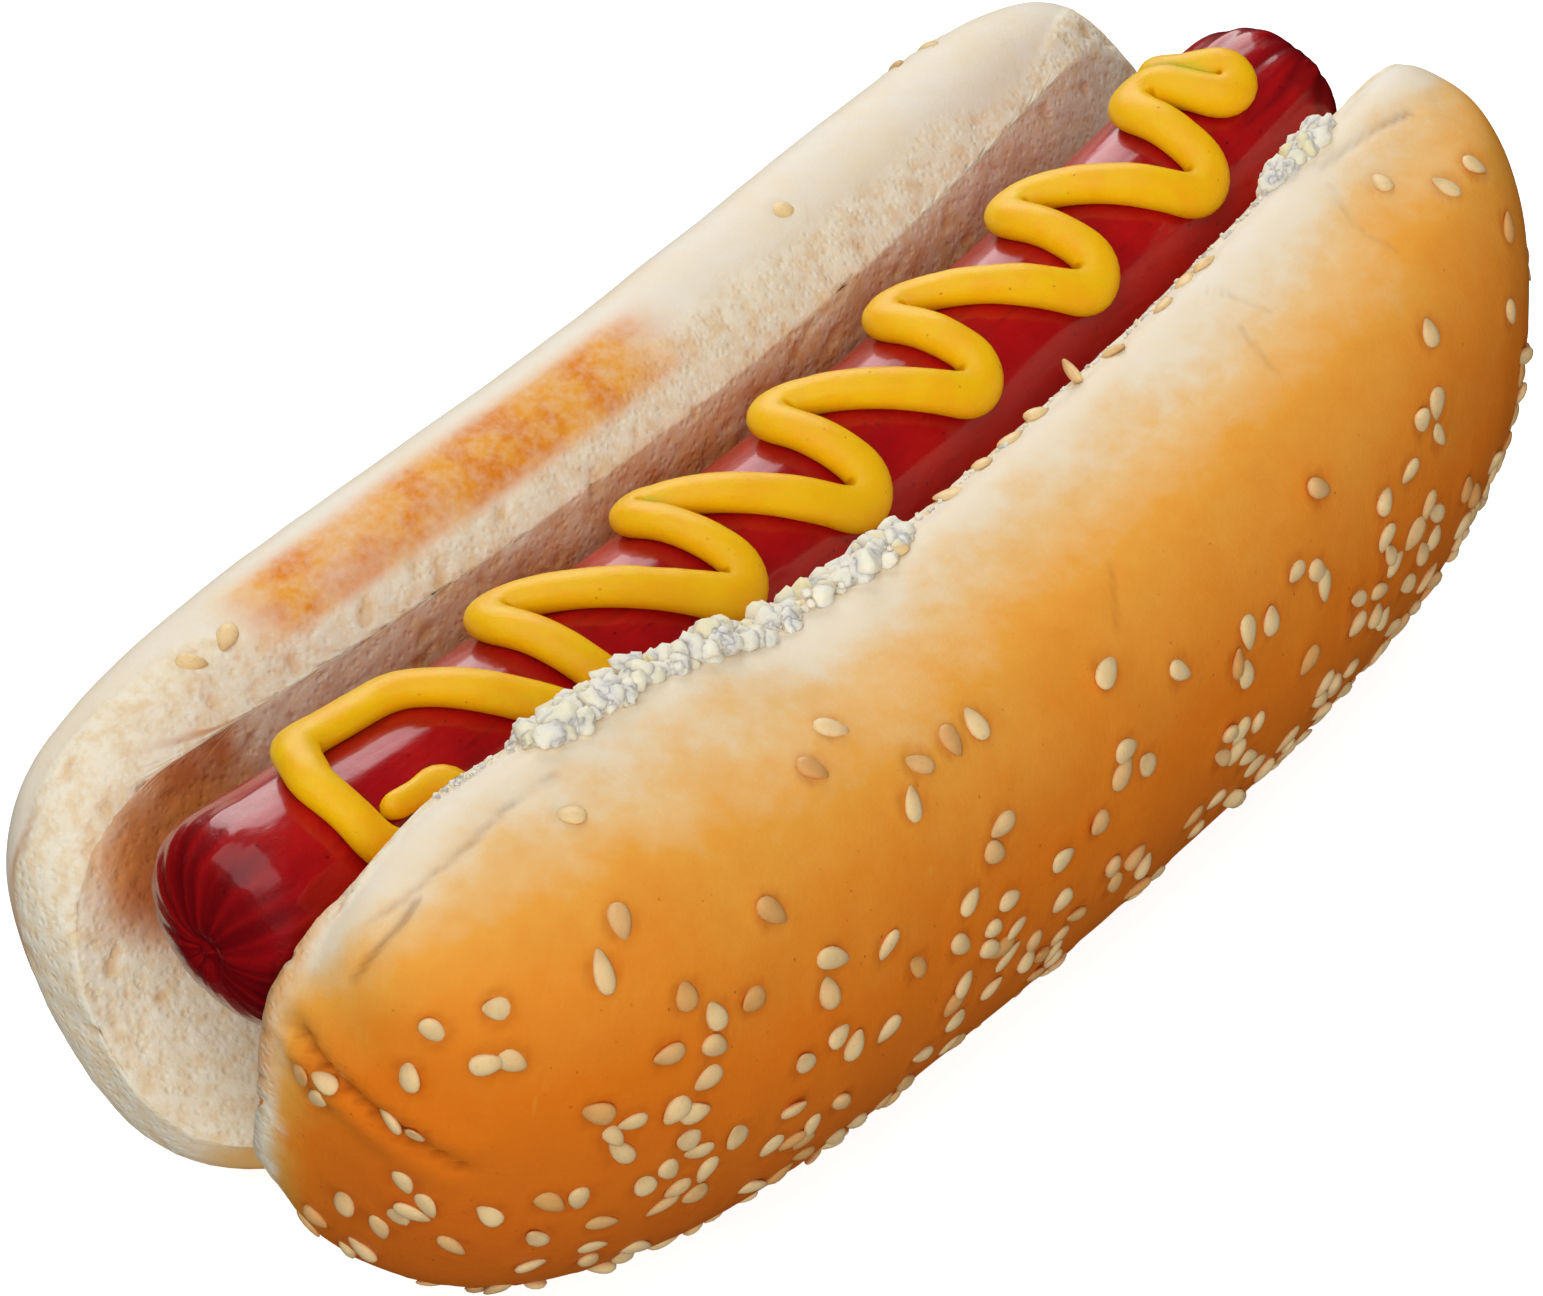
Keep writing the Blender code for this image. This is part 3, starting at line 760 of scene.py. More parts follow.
def bread_fields(points, place):
    """What the relief and the finish need to know at each vertex, from 0 to 1 apart from w, s, x and edge.

    edge is the distance over the crust from the line where crust and slit meet at the bun's ends. crumb is 1 on
    the slit, the torn rim and the cut face; bake is how brown the crust is; toast is the browned strip along
    the pale rim; near is how close the sausage is; torn is the stretch of loose crumb.
    """
    w, s, slit, edge = place["w"], place["s"], place["slit"], place["edge"]
    x = points[:, 0]
    crust = 1 - slit
    wander = layered(points, 7.0, 51, 3)
    seeded = (w < 0).astype(float)
    torn = seeded * step(-w + 0.006 * wander, 0.958, 0.975) * step(x, -54, -46) * step(x, -1, -10)
    far_bits = 0.3 * seeded * step(-w + 0.006 * wander, 0.962, 0.98) * step(x, 52, 57) * step(x, 68, 62)
    cut_line = np.interp(x, *zip(*CUT_LINE)) + 0.010 * wander
    cut = (1 - seeded) * step(w, cut_line - 0.010, cut_line + 0.014)
    face_reach = 9.0 + 1.6 * wander
    face = (1 - seeded) * step(edge, face_reach + 0.8, face_reach - 0.8) * step(w, 0.10, 0.2)
    ragged = 0.5 * layered(points, 1.6, 57, 2)
    rim = seeded * np.maximum(step(edge + 1.4 * ragged, 3.0, 1.6), step(-w + 0.004 * ragged, 0.984, 0.992))
    crumb = np.maximum.reduce([slit, torn, far_bits, cut, face, rim])
    hollow = np.maximum(slit, face * step(edge + wander, 3.4, 6.4)) * step(x + 3 * wander, -50, -66)
    height, radius = sausage_axis(x)
    gap = np.hypot(points[:, 1], points[:, 2] - height) - radius
    past_tip = np.clip(np.abs(x) - (SAUSAGE_LENGTH / 2 - CAP_LENGTH), 0, None)
    gap = np.minimum(gap, np.hypot(np.clip(gap + radius - SAUSAGE_RADIUS, 0, None), past_tip * 0.3))
    near = np.maximum(step(gap + 0.8 * wander, 9.0, 0.5), hollow * step(gap + wander, 13.0, 3.0))
    top = np.clip((1 - np.abs(w)) / 0.6, 0, 1)
    under = step(np.abs(w), 0.05, 0.3)
    bake_seeded = top * (0.55 + 0.45 * under) * (0.16 + 0.84 * step(edge + 1.5 * wander, 1.0, 15.0) ** 0.7)
    bake_seeded = bake_seeded + 0.035 * wander + 0.06 * step(x, -45, -75) * step(top, 0.1, 0.5)
    bake_pale = 0.03 + 0.16 * step(w, 0.72, 0.45) + 0.03 * wander
    bake = np.where(w < 0, bake_seeded, bake_pale)
    share = step(w, -0.12, 0.12)
    bake = np.where(np.abs(w) < 0.12, 0.52 * (1 - share) + 0.22 * share, bake)
    strip = step(w, 0.842, 0.872) * step(w, 0.962, 0.938) * step(x, -54, -45) * step(x, 7, -4)
    toast = (1 - seeded) * crust * strip * np.clip(1.05 + 0.25 * wander, 0, 1)
    brown_line = (1 - seeded) * crust * step(np.abs(edge - face_reach - 0.6), 1.1, 0.1) * step(w, 0.1, 0.2)
    return {"w": w, "s": s, "x": x, "crumb": crumb, "bake": np.clip(bake, 0, 1), "toast": toast, "near": near,
            "torn": np.maximum(torn, far_bits), "slit": slit, "brown_line": brown_line * step(w, 0.88, 0.8),
            "edge": edge, "hollow": hollow}


def crease_relief(points, fields):
    """Heights of the creases, -depth exp(-(d/width)^2) + bulge (d/2.4)^2 exp(1 - (d/2.4)^2), and where they cut."""
    relief = np.zeros(len(points))
    cut = np.zeros(len(points))
    crust = np.flatnonzero((fields["w"] < -0.3) & (fields["slit"] == 0))
    for crease in CREASES:
        along, row = np.array(crease.line).T
        path = smooth_curve(bread_shell(row, along)[0], 70)
        distance, travel = nearest_on_line(points[crust], path)
        distance = distance + 0.12 * noise(points[crust], 1.5, 77)
        strength = (1 - crease.fade * travel) * step(travel, 1.0, 0.85)
        valley = np.exp(-(distance / crease.width) ** 2)
        swell = (distance / 2.4) ** 2 * np.exp(1 - (distance / 2.4) ** 2)
        relief[crust] += strength * (crease.bulge * swell - crease.depth * valley)
        cut[crust] = np.maximum(cut[crust], strength * min(crease.depth * 2.5, 1) * valley)
    return relief, cut


def bread_relief(points, fields):
    """How far each vertex moves along its normal, and the fields pit_shade and crease that it leaves behind, which the
    finish uses for painted shade in pores and creases.

    The crust gets a slow unevenness and its creases. Crumb gets layered noise, open pores (the inside of
    cells of random size) and, where it is torn, blocks: each cell of about 2 mm stands at its own height.
    """
    crumb, torn = fields["crumb"], fields["torn"]
    uneven = 0.34 * noise(points, 26.0, 61) + 0.18 * noise(points, 11.0, 62) + 0.04 * noise(points, 3.2, 63) - 0.2
    creases, cut = crease_relief(points, fields)
    big, big_name = cells(points + 1.2 * layered(points, 2.5, 71, 2)[:, None], 3.0, 72)
    small, small_name = cells(points, 1.4, 82)
    pore = step(big, 0.45, 0.10) * (big_name > 0.68) + 0.5 * step(small, 0.45, 0.15) * (small_name > 0.6)
    pore = np.clip(pore, 0, 1)
    rough = 0.16 * layered(points, 3.4, 91, 3) + 0.05 * layered(points, 0.9, 95, 2)
    block, block_name = cells(points + 0.5 * layered(points, 1.2, 101, 2)[:, None], 2.1, 102)
    chunks = (block_name * 1.5 - 0.45) * step(block, 0.75, 0.45)
    # pit_shade: depth of the crumb's pores, where the finish paints shade.
    fields["pit_shade"] = pore * crumb
    # crease: depth of the crust's creases, where the finish paints shade.
    fields["crease"] = cut
    steady = step(points[:, 2], 1.3, 5.0)
    relief = (1 - crumb) * uneven + creases
    relief = relief + crumb * (rough - 0.38 * pore) * (1 - 0.4 * torn) + torn * chunks
    return relief * steady


@functools.lru_cache(maxsize=None)
def seed_places():
    """Where seeds lie: vertex numbers of the crust, drawn by area and density, none within 2.0 mm of another.

    Density peaks round w = -0.43 and fades out by -0.88 and -0.06, and is gathered into clusters by noise.
    """
    points, quads, normals, fields = bread_base()
    w, edge = fields["w"], fields["edge"]
    area = np.zeros(len(points))
    diagonals = np.cross(points[quads[:, 2]] - points[quads[:, 0]], points[quads[:, 3]] - points[quads[:, 1]])
    size = np.linalg.norm(diagonals, axis=1) / 8
    for corner in range(4):
        area += np.bincount(quads[:, corner], size, len(points))
    density = step(w, -0.90, -0.52) ** 1.6 * step(w, -0.06, -0.26) * step(edge, 1.5, 5.0)
    density = density * (fields["slit"] == 0) * (fields["crumb"] < 0.2) * step(points[:, 2], 3.0, 7.0)
    cluster = (0.25 + 1.5 * step(noise(points, 7.0, 111), -0.25, 0.6) + 1.0 * step(noise(points, 3.4, 112), 0.1, 0.8)) * (1 - 0.45 * step(points[:, 0], -45, -70))
    weight = area * density * cluster
    rng = np.random.default_rng(5)
    drawn = rng.choice(len(points), 1500, replace=False, p=weight / weight.sum())
    chosen = []
    for vertex in drawn:
        if len(chosen) >= 340:
            break
        if not chosen or np.linalg.norm(points[chosen] - points[vertex], axis=1).min() > 2.0:
            chosen.append(int(vertex))
    scattered_count = len(chosen)
    crust = np.flatnonzero(fields["slit"] == 0)
    for x, row, _ in LONE_SEEDS:
        miss = ((fields["x"][crust] - x) / 10) ** 2 + ((w[crust] - row) / 0.05) ** 2
        chosen.append(int(crust[miss.argmin()]))
    upright = np.concatenate([np.zeros(scattered_count), [seed[2] for seed in LONE_SEEDS]])
    return np.array(chosen), upright > 0


def bread_skin():
    """The bread with a shallow dent round each seed, and the field seed_shade that says where, for the painted shade
    round each seed in the finish.
    """
    points, quads, normals, fields = bread_base()
    centres = points[seed_places()[0]]
    crust = np.flatnonzero(fields["slit"] == 0)
    nearest = np.full(len(points), 99.0)
    for part in np.array_split(crust, 24):
        nearest[part] = np.linalg.norm(points[part][:, None] - centres[None], axis=-1).min(1)
    dent = 0.22 * np.exp(-(nearest / 1.1) ** 2) - 0.10 * np.exp(-((nearest - 2.0) / 0.6) ** 2)
    # A ring round each seed where the finish paints shade.
    seed_shade = np.exp(-((nearest - 1.35) / 0.5) ** 2)
    names = ("crumb", "bake", "toast", "near", "pit_shade", "crease", "brown_line", "torn", "hollow")
    shown = {name: fields[name] for name in names}
    return points - normals * dent[:, None], quads, dict(shown, seed_shade=seed_shade)


def bread_finish(settings):
    """Baked bread: crust from cream through gold to orange brown, soft crumb with pores, a toasted strip. Painted
    shade darkens the crumb's hollows and pores, the creases, the crust round each seed and the hollow round the
    sausage's near tip; beside the sausage a grease stain is mixed with painted shade and painted red light reflected
    from the sausage.
    """
    finish = Finish("baked_bread")
    bake = finish.field("bake")
    crumb = finish.field("crumb")
    toast = finish.field("toast")
    near = finish.field("near")
    pit_shade = finish.field("pit_shade")
    crease = finish.field("crease")
    seed_shade = finish.field("seed_shade")
    line = finish.field("brown_line")
    torn = finish.field("torn")
    mottle = finish.noise(2.4, 4.0, 0.6)
    drift = finish.noise(12.0, 2.0, 0.5)
    fine = finish.noise(0.5, 3.0, 0.65)
    pores = finish.cells(1.6)
    scratches = finish.noise(1.0, 2.0, 0.6, stretch=(3.0, 1.0, 6.0))
    pale = linear(settings.pale_crust)
    gold = linear(settings.gold_crust)
    brown = linear(settings.brown_crust)
    half_way = linear([(a + b) / 2 for a, b in zip(settings.pale_crust, settings.gold_crust)])
    orange = linear([(a + b) / 2 for a, b in zip(settings.gold_crust, settings.brown_crust)])
    shade = bake + (mottle - 0.5) * 0.13 + (drift - 0.5) * 0.14
    crust = finish.ramp(shade, [(0.0, linear((0.95, 0.91, 0.84))), (0.10, pale), (0.20, half_way), (0.32, gold),
                                (0.46, orange), (0.64, brown), (1.0, linear(settings.dark_crust))])
    specks = (1 - pores.step(0.04, 0.12)) * fine.step(0.45, 0.6) * bake.step(0.2, 0.5)
    crust = finish.mix(specks * 0.3, crust, linear((0.66, 0.34, 0.09)))
    crust = finish.mix(scratches.step(0.66, 0.80) * bake.step(0.2, 0.5) * 0.3, crust, gold)
    # Painted shade: the crust darkened round each seed.
    crust = finish.mix(seed_shade * bake.step(0.1, 0.4) * 0.4, crust, linear((0.74, 0.34, 0.06)))
    # Painted shade: the crust darkened along its creases.
    crust = finish.mix(crease * (0.35 + bake * 0.75), crust, linear((0.50, 0.22, 0.06)))
    soft = finish.noise(1.7, 4.0, 0.62)
    # Painted shade: the crumb darker in the hollows of its bump.
    inside = finish.mix(soft.step(0.30, 0.62), linear(settings.crumb_hollow_shade), linear(settings.crumb))
    # Painted shade: the pores darker tan.
    inside = finish.mix(pit_shade.step(0.1, 0.9) * 0.5, inside, linear(settings.pore))
    # Grease stain and painted shade, with painted red light reflected from the sausage: the crumb beside the sausage
    # tan to orange.
    stain_and_shade = near.step(0.1, 1.0) * (0.55 + mottle.step(0.35, 0.65) * 0.45)
    inside = finish.mix(stain_and_shade * 0.95 * (1 - torn), inside, linear(settings.stained_and_shaded_crumb))
    hollow = finish.field("hollow")
    # Partly browning, partly painted shade: the concave hollow round the sausage's near tip darkened to orange brown.
    browned_hollow_shade = finish.mix(drift.step(0.35, 0.65), linear((0.88, 0.56, 0.24)), linear((0.74, 0.38, 0.11)))
    inside = finish.mix(hollow * near.step(0.05, 0.6) * 0.9, inside, browned_hollow_shade)
    colour = finish.mix(crumb, crust, inside)
    colour = finish.mix(line * 0.6, colour, linear((0.80, 0.52, 0.22)))
    browned = finish.mix(finish.noise(4.5, 3.0, 0.55).step(0.4, 0.62), linear(settings.toast), linear(settings.dark_toast))
    grain = finish.noise(1.1, 3.0, 0.6)
    colour = finish.mix(toast * (0.45 + grain * 0.9), colour, browned)
    crust_height = fine * 0.35 + mottle * 0.4 - specks * 0.6 + scratches * 0.25
    normal = finish.bump(crust_height * (1 - crumb), 0.16)
    cells_small = finish.cells(0.9)
    crumb_height = soft * 0.6 + cells_small.step(0.0, 0.55) * 0.5 + fine * 0.4
    normal = finish.bump(crumb_height * crumb, 0.2, normal)
    roughness = 0.46 + crumb * 0.40 + (fine - 0.5) * 0.14
    return finish.done(
        Base_Color=colour, Roughness=roughness, Normal=normal, Specular_IOR_Level=0.1,
        Subsurface_Weight=0.15, Subsurface_Radius=(1.0, 0.62, 0.32), Subsurface_Scale=2.0 * MM)


# ------------------------------------------------------------------------------------- seeds and loose crumb


def blob(rows, sides, square):
    """Unit sphere with poles on x: cos and sin raised to square, so below 1 it is blocky."""
    u = np.linspace(0, np.pi, rows)[:, None]
    v = np.linspace(0, 2 * np.pi, sides, endpoint=False)[None]

    def bend(value):
        return np.sign(value) * np.abs(value) ** square

    ring = np.clip(np.sin(u), 0, None) ** square
    shape = (rows, sides)
    points = np.stack([np.broadcast_to(bend(np.cos(u)), shape), ring * bend(np.cos(v)), ring * bend(np.sin(v))], -1)
    ids = np.arange(rows * sides).reshape(shape)
    ids[0] = ids[0, 0]
    ids[-1] = ids[-1, 0]
    kept, quads = np.unique(grid_quads(ids, True), return_inverse=True)
    points = points.reshape(-1, 3)[kept]
    return points, outward(points, quads.reshape(-1, 4))


def scattered(shapes, quads, axes, centres):
    """Copies of a shape, one per place: its own vertices times its three axes plus its centre, as one mesh."""
    points = np.einsum("nvk,nkj->nvj", shapes, axes) + centres[:, None]
    count = shapes.shape[1]
    numbers = quads[None] + np.arange(len(centres))[:, None, None] * count
    return points.reshape(-1, 3), numbers.reshape(-1, 4)


def lying_axes(normals, tilt, rng):
    """Three axes per place: a random direction in the surface, the one beside it, and the normal, tilted."""
    normals = normals + rng.normal(0, tilt, normals.shape)
    normals = normals / np.linalg.norm(normals, axis=1, keepdims=True)
    random = rng.normal(size=normals.shape)
    first = np.cross(normals, random)
    first = first / np.linalg.norm(first, axis=1, keepdims=True)
    return np.stack([first, np.cross(normals, first), normals], 1)


def sesame(settings):
    """Hulled sesame: a flattened drop, half width sin(u) (1 - 0.32 cos u), pointed at one end."""
    points, _, normals, fields = bread_base()
    places, upright = seed_places()
    rng = np.random.default_rng(8)
    unit, quads = blob(9, 10, 1.0)
    taper = 1 - 0.32 * unit[:, :1]
    drop = np.concatenate([unit[:, :1], unit[:, 1:] * taper], 1)
    count = len(places)
    size = np.array([settings.length, settings.width, settings.thickness]) / MM / 2
    grown = size * rng.normal(1.0, [0.09, 0.10, 0.12], (count, 3))
    shapes = drop[None] * grown[:, None]
    axes = lying_axes(normals[places], 0.13, rng)
    lift = grown[:, 2] * rng.uniform(0.05, 0.55, count)
    centres = points[places] + normals[places] * (lift - 0.15)[:, None]
    axes[upright] = axes[upright][:, [2, 1, 0]] * np.array([[1], [1], [-1]])
    centres[upright] += normals[places[upright]] * 1.2
    lone = np.arange(count) >= count - len(LONE_SEEDS)
    centres[lone & (fields["w"][places] > 0)] -= normals[places[lone & (fields["w"][places] > 0)]] * 0.25
    made, numbers = scattered(shapes, quads, axes, centres)
    tone = np.repeat(np.where(lone, 0, rng.uniform(0, 1, count) ** 2.0), len(unit))
    end = np.tile(unit[:, 0] * 0.5 + 0.5, count)
    return made, numbers, {"tone": tone, "end": end}


def seed_finish(settings):
    """Toasted sesame: cream to straw, browner at the pointed end, a faint waxy gloss."""
    finish = Finish("sesame")
    tone = finish.field("tone")
    end = finish.field("end")
    fine = finish.noise(0.45, 3.0, 0.6)
    colour = finish.mix(tone.step(0.1, 1.0), linear(settings.pale_seed), linear(settings.toasted_seed))
    colour = finish.mix(end.step(0.55, 1.0) * 0.35, colour, linear((0.70, 0.45, 0.18)))
    colour = finish.mix(fine.step(0.55, 0.75) * 0.3, colour, linear((0.78, 0.58, 0.30)))
    return finish.done(
        Base_Color=colour, Roughness=0.36 + fine * 0.2, Normal=finish.bump(fine, 0.05), Specular_IOR_Level=0.5,
        Subsurface_Weight=0.25, Subsurface_Radius=(1.0, 0.7, 0.4), Subsurface_Scale=0.8 * MM)


def crumb_pieces(settings):
    """Loose crumb: lumps heaped on the torn rim, small bits on the other broken edges.

    A lump is a unit sphere whose radius is 1 + 0.34 N(1.5 d) + 0.16 N(4 d) in direction d, N being noise.
    """
    points, quads, normals, fields = bread_base()
    rng = np.random.default_rng(21)
    torn = np.flatnonzero((fields["torn"] > 0.2) & (np.abs(fields["w"]) > 0.95))
    edges = np.flatnonzero((fields["crumb"] > 0.6) & (fields["slit"] == 0) & (fields["w"] < 0) & (fields["torn"] < 0.4)
                           & (points[:, 2] > 12))
    spread = (1 - np.abs(fields["w"][torn])) ** 0.3 + 0.05
    heap = rng.choice(torn, settings.heap_count, p=spread / spread.sum())
    away_from_tips = (np.abs(fields["x"][edges]) < 62) * (1 - np.abs(fields["w"][edges]))
    dust = rng.choice(edges, settings.dust_count, p=away_from_tips / away_from_tips.sum())
    places = np.concatenate([heap, dust])
    count = len(places)
    is_heap = np.arange(count) < len(heap)
    largest = settings.chunk_size / MM / 2
    size = np.where(is_heap, largest * rng.uniform(0.4, 1.0, count) ** 2.6, rng.uniform(0.12, 0.34, count))
    unit, lump_quads = blob(8, 9, 0.8)
    away = rng.uniform(0, 50, (count, 1, 3))
    lumpy = 1 + 0.34 * noise(unit[None] * 1.5 + away, 1.0, 23) + 0.16 * noise(unit[None] * 4 + away, 1.0, 24)
    shapes = unit[None] * lumpy[..., None] * (size[:, None] * rng.uniform(0.65, 1.15, (count, 3)))[:, None]
    axes = lying_axes(normals[places], 0.9, rng)
    mound = 0.5 + 0.5 * noise(points[places], 6.0, 25)
    up = np.where(is_heap, rng.uniform(-0.2, 1.6, count) * mound, 0.0)
    centres = points[places] + normals[places] * (size * 0.1)[:, None]
    centres[:, 2] += up
    made, numbers = scattered(shapes, lump_quads, axes, centres)
    made = clear_sausage(made, 0.05)
    tone = np.repeat(rng.uniform(0, 1, count), len(unit))
    return made, numbers, {"tone": tone}


def crumb_finish(settings):
    """Loose crumb: cream white, a few chunks yellower, rough and soft."""
    finish = Finish("loose_crumb")
    tone = finish.field("tone")
    soft = finish.noise(0.7, 4.0, 0.65)
    colour = finish.mix(tone.step(0.6, 1.0) * 0.7, linear(settings.pale_crumb), linear(settings.yellow_crumb))
    colour = finish.mix(soft.step(0.5, 0.75) * 0.2, colour, linear((0.96, 0.84, 0.62)))
    return finish.done(
        Base_Color=colour, Roughness=0.8 + soft * 0.1, Normal=finish.bump(soft, 0.15), Specular_IOR_Level=0.15,
        Subsurface_Weight=0.55, Subsurface_Radius=(1.0, 0.8, 0.5), Subsurface_Scale=1.0 * MM)


# --------------------------------------------------------------------------------------------------- settings


def colour_property(name, description, default):
    """A colour as it shows on a display."""
    return bpy.props.FloatVectorProperty(
        name=name, description=description, subtype="COLOR_GAMMA", size=3, min=0, max=1, default=default)


def length_property(name, description, default):
    return bpy.props.FloatProperty(
        name=name, description=description, subtype="DISTANCE", unit="LENGTH", min=0, precision=5, default=default)


class BreadSettings(bpy.types.PropertyGroup):
    """Colours of the crust and the crumb."""
    pale_crust: colour_property("Pale crust", "Crust along the rims", (0.95, 0.88, 0.76))
    gold_crust: colour_property("Gold crust", "Crust a little below the rims", (0.95, 0.66, 0.26))
    brown_crust: colour_property("Brown crust", "Crust on the crown", (0.93, 0.50, 0.10))
    dark_crust: colour_property("Dark crust", "Crust where it is browned most", (0.86, 0.43, 0.09))
    crumb: colour_property("Crumb", "Soft inside of the bread", (0.97, 0.93, 0.84))
    # Crumb shade: painted shade in the hollows of the crumb.
    crumb_hollow_shade: colour_property("Crumb shade", "Hollows of the crumb", (0.94, 0.85, 0.70))
    # Pore: painted shade in the crumb's open pores.
    pore: colour_property("Pore", "Open pores of the crumb", (0.88, 0.68, 0.42))
    # Stained crumb: grease stain mixed with painted shade and painted red light reflected from the sausage.
    stained_and_shaded_crumb: colour_property("Stained crumb", "Crumb beside the sausage", (0.93, 0.67, 0.38))
    toast: colour_property("Toast", "Browned strip on the pale rim", (0.95, 0.66, 0.26))
    dark_toast: colour_property("Dark toast", "Darkest blotches of the strip", (0.91, 0.54, 0.14))


class SausageSettings(bpy.types.PropertyGroup):
    """Colours of the sausage's skin."""
    skin: colour_property("Skin", "Most of the skin", (0.66, 0.02, 0.06))
    bright_skin: colour_property("Bright skin", "Lighter patches", (0.78, 0.07, 0.06))
    dark_skin: colour_property("Dark skin", "Streaks and the near tip", (0.44, 0.01, 0.04))


class MustardSettings(bpy.types.PropertyGroup):
    """Size and colours of the mustard's bead."""
    bead_width: length_property("Bead width", "Across the bead", 0.0043)
    bead_height: length_property("Bead height", "From the skin to the bead's top", 0.0030)
    sauce: colour_property("Sauce", "Most of the mustard", (0.99, 0.77, 0.0))
    deep_sauce: colour_property("Deep sauce", "Where it is thickest", (0.97, 0.70, 0.0))


class SeedSettings(bpy.types.PropertyGroup):
    """Size and colours of the sesame seeds."""
    length: length_property("Length", "Of one seed", 0.0033)
    width: length_property("Width", "Of one seed", 0.0021)
    thickness: length_property("Thickness", "Of one seed", 0.0010)
    pale_seed: colour_property("Pale seed", "Untoasted seeds", (0.96, 0.83, 0.61))
    toasted_seed: colour_property("Toasted seed", "Seeds toasted most", (0.89, 0.66, 0.38))


class CrumbSettings(bpy.types.PropertyGroup):
    """Size, number and colours of the loose crumb."""
    chunk_size: length_property("Chunk size", "Across the largest chunks", 0.0030)
    heap_count: bpy.props.IntProperty(name="Heap count", description="Chunks on the torn rim", min=0, default=1150)
    dust_count: bpy.props.IntProperty(name="Dust count", description="Bits on other edges", min=0, default=260)
    pale_crumb: colour_property("Pale crumb", "Most of the chunks", (1.0, 0.96, 0.88))
    yellow_crumb: colour_property("Yellow crumb", "The yellower chunks", (0.98, 0.90, 0.68))


class StageSettings(bpy.types.PropertyGroup):
    """Floor, light and camera."""
    floor_size: length_property("Floor size", "Across the floor", 6.0)
    floor_colour: colour_property("Floor", "The plain floor", (0.95, 0.95, 0.95))
    sky: bpy.props.FloatProperty(name="Sky", description="Strength of the light from all round", min=0, default=0.24)
    key: bpy.props.FloatProperty(name="Key", description="Power of the large soft light behind", unit="POWER", min=0,
                                 default=2.9)
    top: bpy.props.FloatProperty(name="Top", description="Power of the soft light overhead", unit="POWER", min=0,
                                 default=3.8)
    fill: bpy.props.FloatProperty(name="Fill", description="Power of the soft light in front", unit="POWER", min=0,
                                  default=8.8)
    glow: bpy.props.FloatProperty(name="Glow", description="Light that the floor gives off", min=0, default=0.72)
    distance: length_property("Camera distance", "From the camera to what it looks at", 0.534)
    azimuth: bpy.props.FloatProperty(name="Azimuth", description="Camera's direction round the object, from -Y",
                                     subtype="ANGLE", default=float(np.radians(-49.5)))
    elevation: bpy.props.FloatProperty(name="Elevation", description="Camera's angle above the floor",
                                       subtype="ANGLE", default=float(np.radians(43.95)))
    lens: bpy.props.FloatProperty(name="Lens", description="Focal length on a 36 mm sensor", unit="CAMERA",
                                  min=1, default=128.0)


class HotDogSettings(bpy.types.PropertyGroup):
    """All sizes and colours."""
    bread: bpy.props.PointerProperty(type=BreadSettings, name="Bread", description="The bun")
    sausage: bpy.props.PointerProperty(type=SausageSettings, name="Sausage", description="The sausage")
    mustard: bpy.props.PointerProperty(type=MustardSettings, name="Mustard", description="The mustard")
    seeds: bpy.props.PointerProperty(type=SeedSettings, name="Seeds", description="The sesame seeds")
    crumbs: bpy.props.PointerProperty(type=CrumbSettings, name="Crumbs", description="The loose crumb")
    stage: bpy.props.PointerProperty(type=StageSettings, name="Stage", description="Floor, light and camera")


# -------------------------------------------------------------------------------------------------- operators


class HOTDOG_OT_bread(bpy.types.Operator):
    """Makes the bun: two halves of one bread joined along the hinge"""
    bl_idname = "hotdog.bread"
    bl_label = "Bread"

    def execute(self, context):
        points, quads, fields = bread_skin()
        finish = bread_finish(context.scene.hot_dog.bread)
        add_piece("bun_bread", points, quads, fields, finish, "bun")
        return {"FINISHED"}


class HOTDOG_OT_sausage(bpy.types.Operator):
    """Makes the sausage with its drawn-in ends"""
    bl_idname = "hotdog.sausage"
    bl_label = "Sausage"

    def execute(self, context):
        finish = sausage_finish(context.scene.hot_dog.sausage)
        points, quads, fields = sausage_skin(380, 240)
        add_piece("sausage_link", points, quads, fields, finish, "sausage")
        return {"FINISHED"}


class HOTDOG_OT_mustard(bpy.types.Operator):
    """Makes the zigzag of mustard"""
    bl_idname = "hotdog.mustard"
    bl_label = "Mustard"

    def execute(self, context):
        settings = context.scene.hot_dog.mustard
        points, quads = mustard_bead(settings)
        add_piece("mustard_zigzag", points, quads, {}, mustard_finish(settings), "mustard")
        return {"FINISHED"}


class HOTDOG_OT_seeds(bpy.types.Operator):
    """Scatters the sesame seeds on the crust"""
    bl_idname = "hotdog.seeds"
    bl_label = "Sesame seeds"

    def execute(self, context):
        settings = context.scene.hot_dog.seeds
        points, quads, fields = sesame(settings)
        add_piece("sesame_seeds", points, quads, fields, seed_finish(settings), None)
        return {"FINISHED"}


class HOTDOG_OT_crumbs(bpy.types.Operator):
    """Heaps loose crumb on the torn rim and dusts the other broken edges"""
    bl_idname = "hotdog.crumbs"
    bl_label = "Loose crumb"

    def execute(self, context):
        settings = context.scene.hot_dog.crumbs
        points, quads, fields = crumb_pieces(settings)
        add_piece("bread_crumbs", points, quads, fields, crumb_finish(settings), None)
        return {"FINISHED"}


def area_light(name, direction, distance, size, power, target):
    """A square soft light in that direction from the target, facing it."""
    data = bpy.data.lights.new(name, "AREA")
    data.shape = "SQUARE"
    data.size = size
    data.energy = power
    light = bpy.data.objects.new(name, data)
    unit = np.array(direction, float) / np.linalg.norm(direction)
    light.location = target + unit * distance
    flat = np.hypot(unit[0], unit[1])
    light.rotation_euler = (np.arctan2(flat, unit[2]), 0, np.arctan2(unit[0], -unit[1]))
    bpy.context.collection.objects.link(light)
    return light


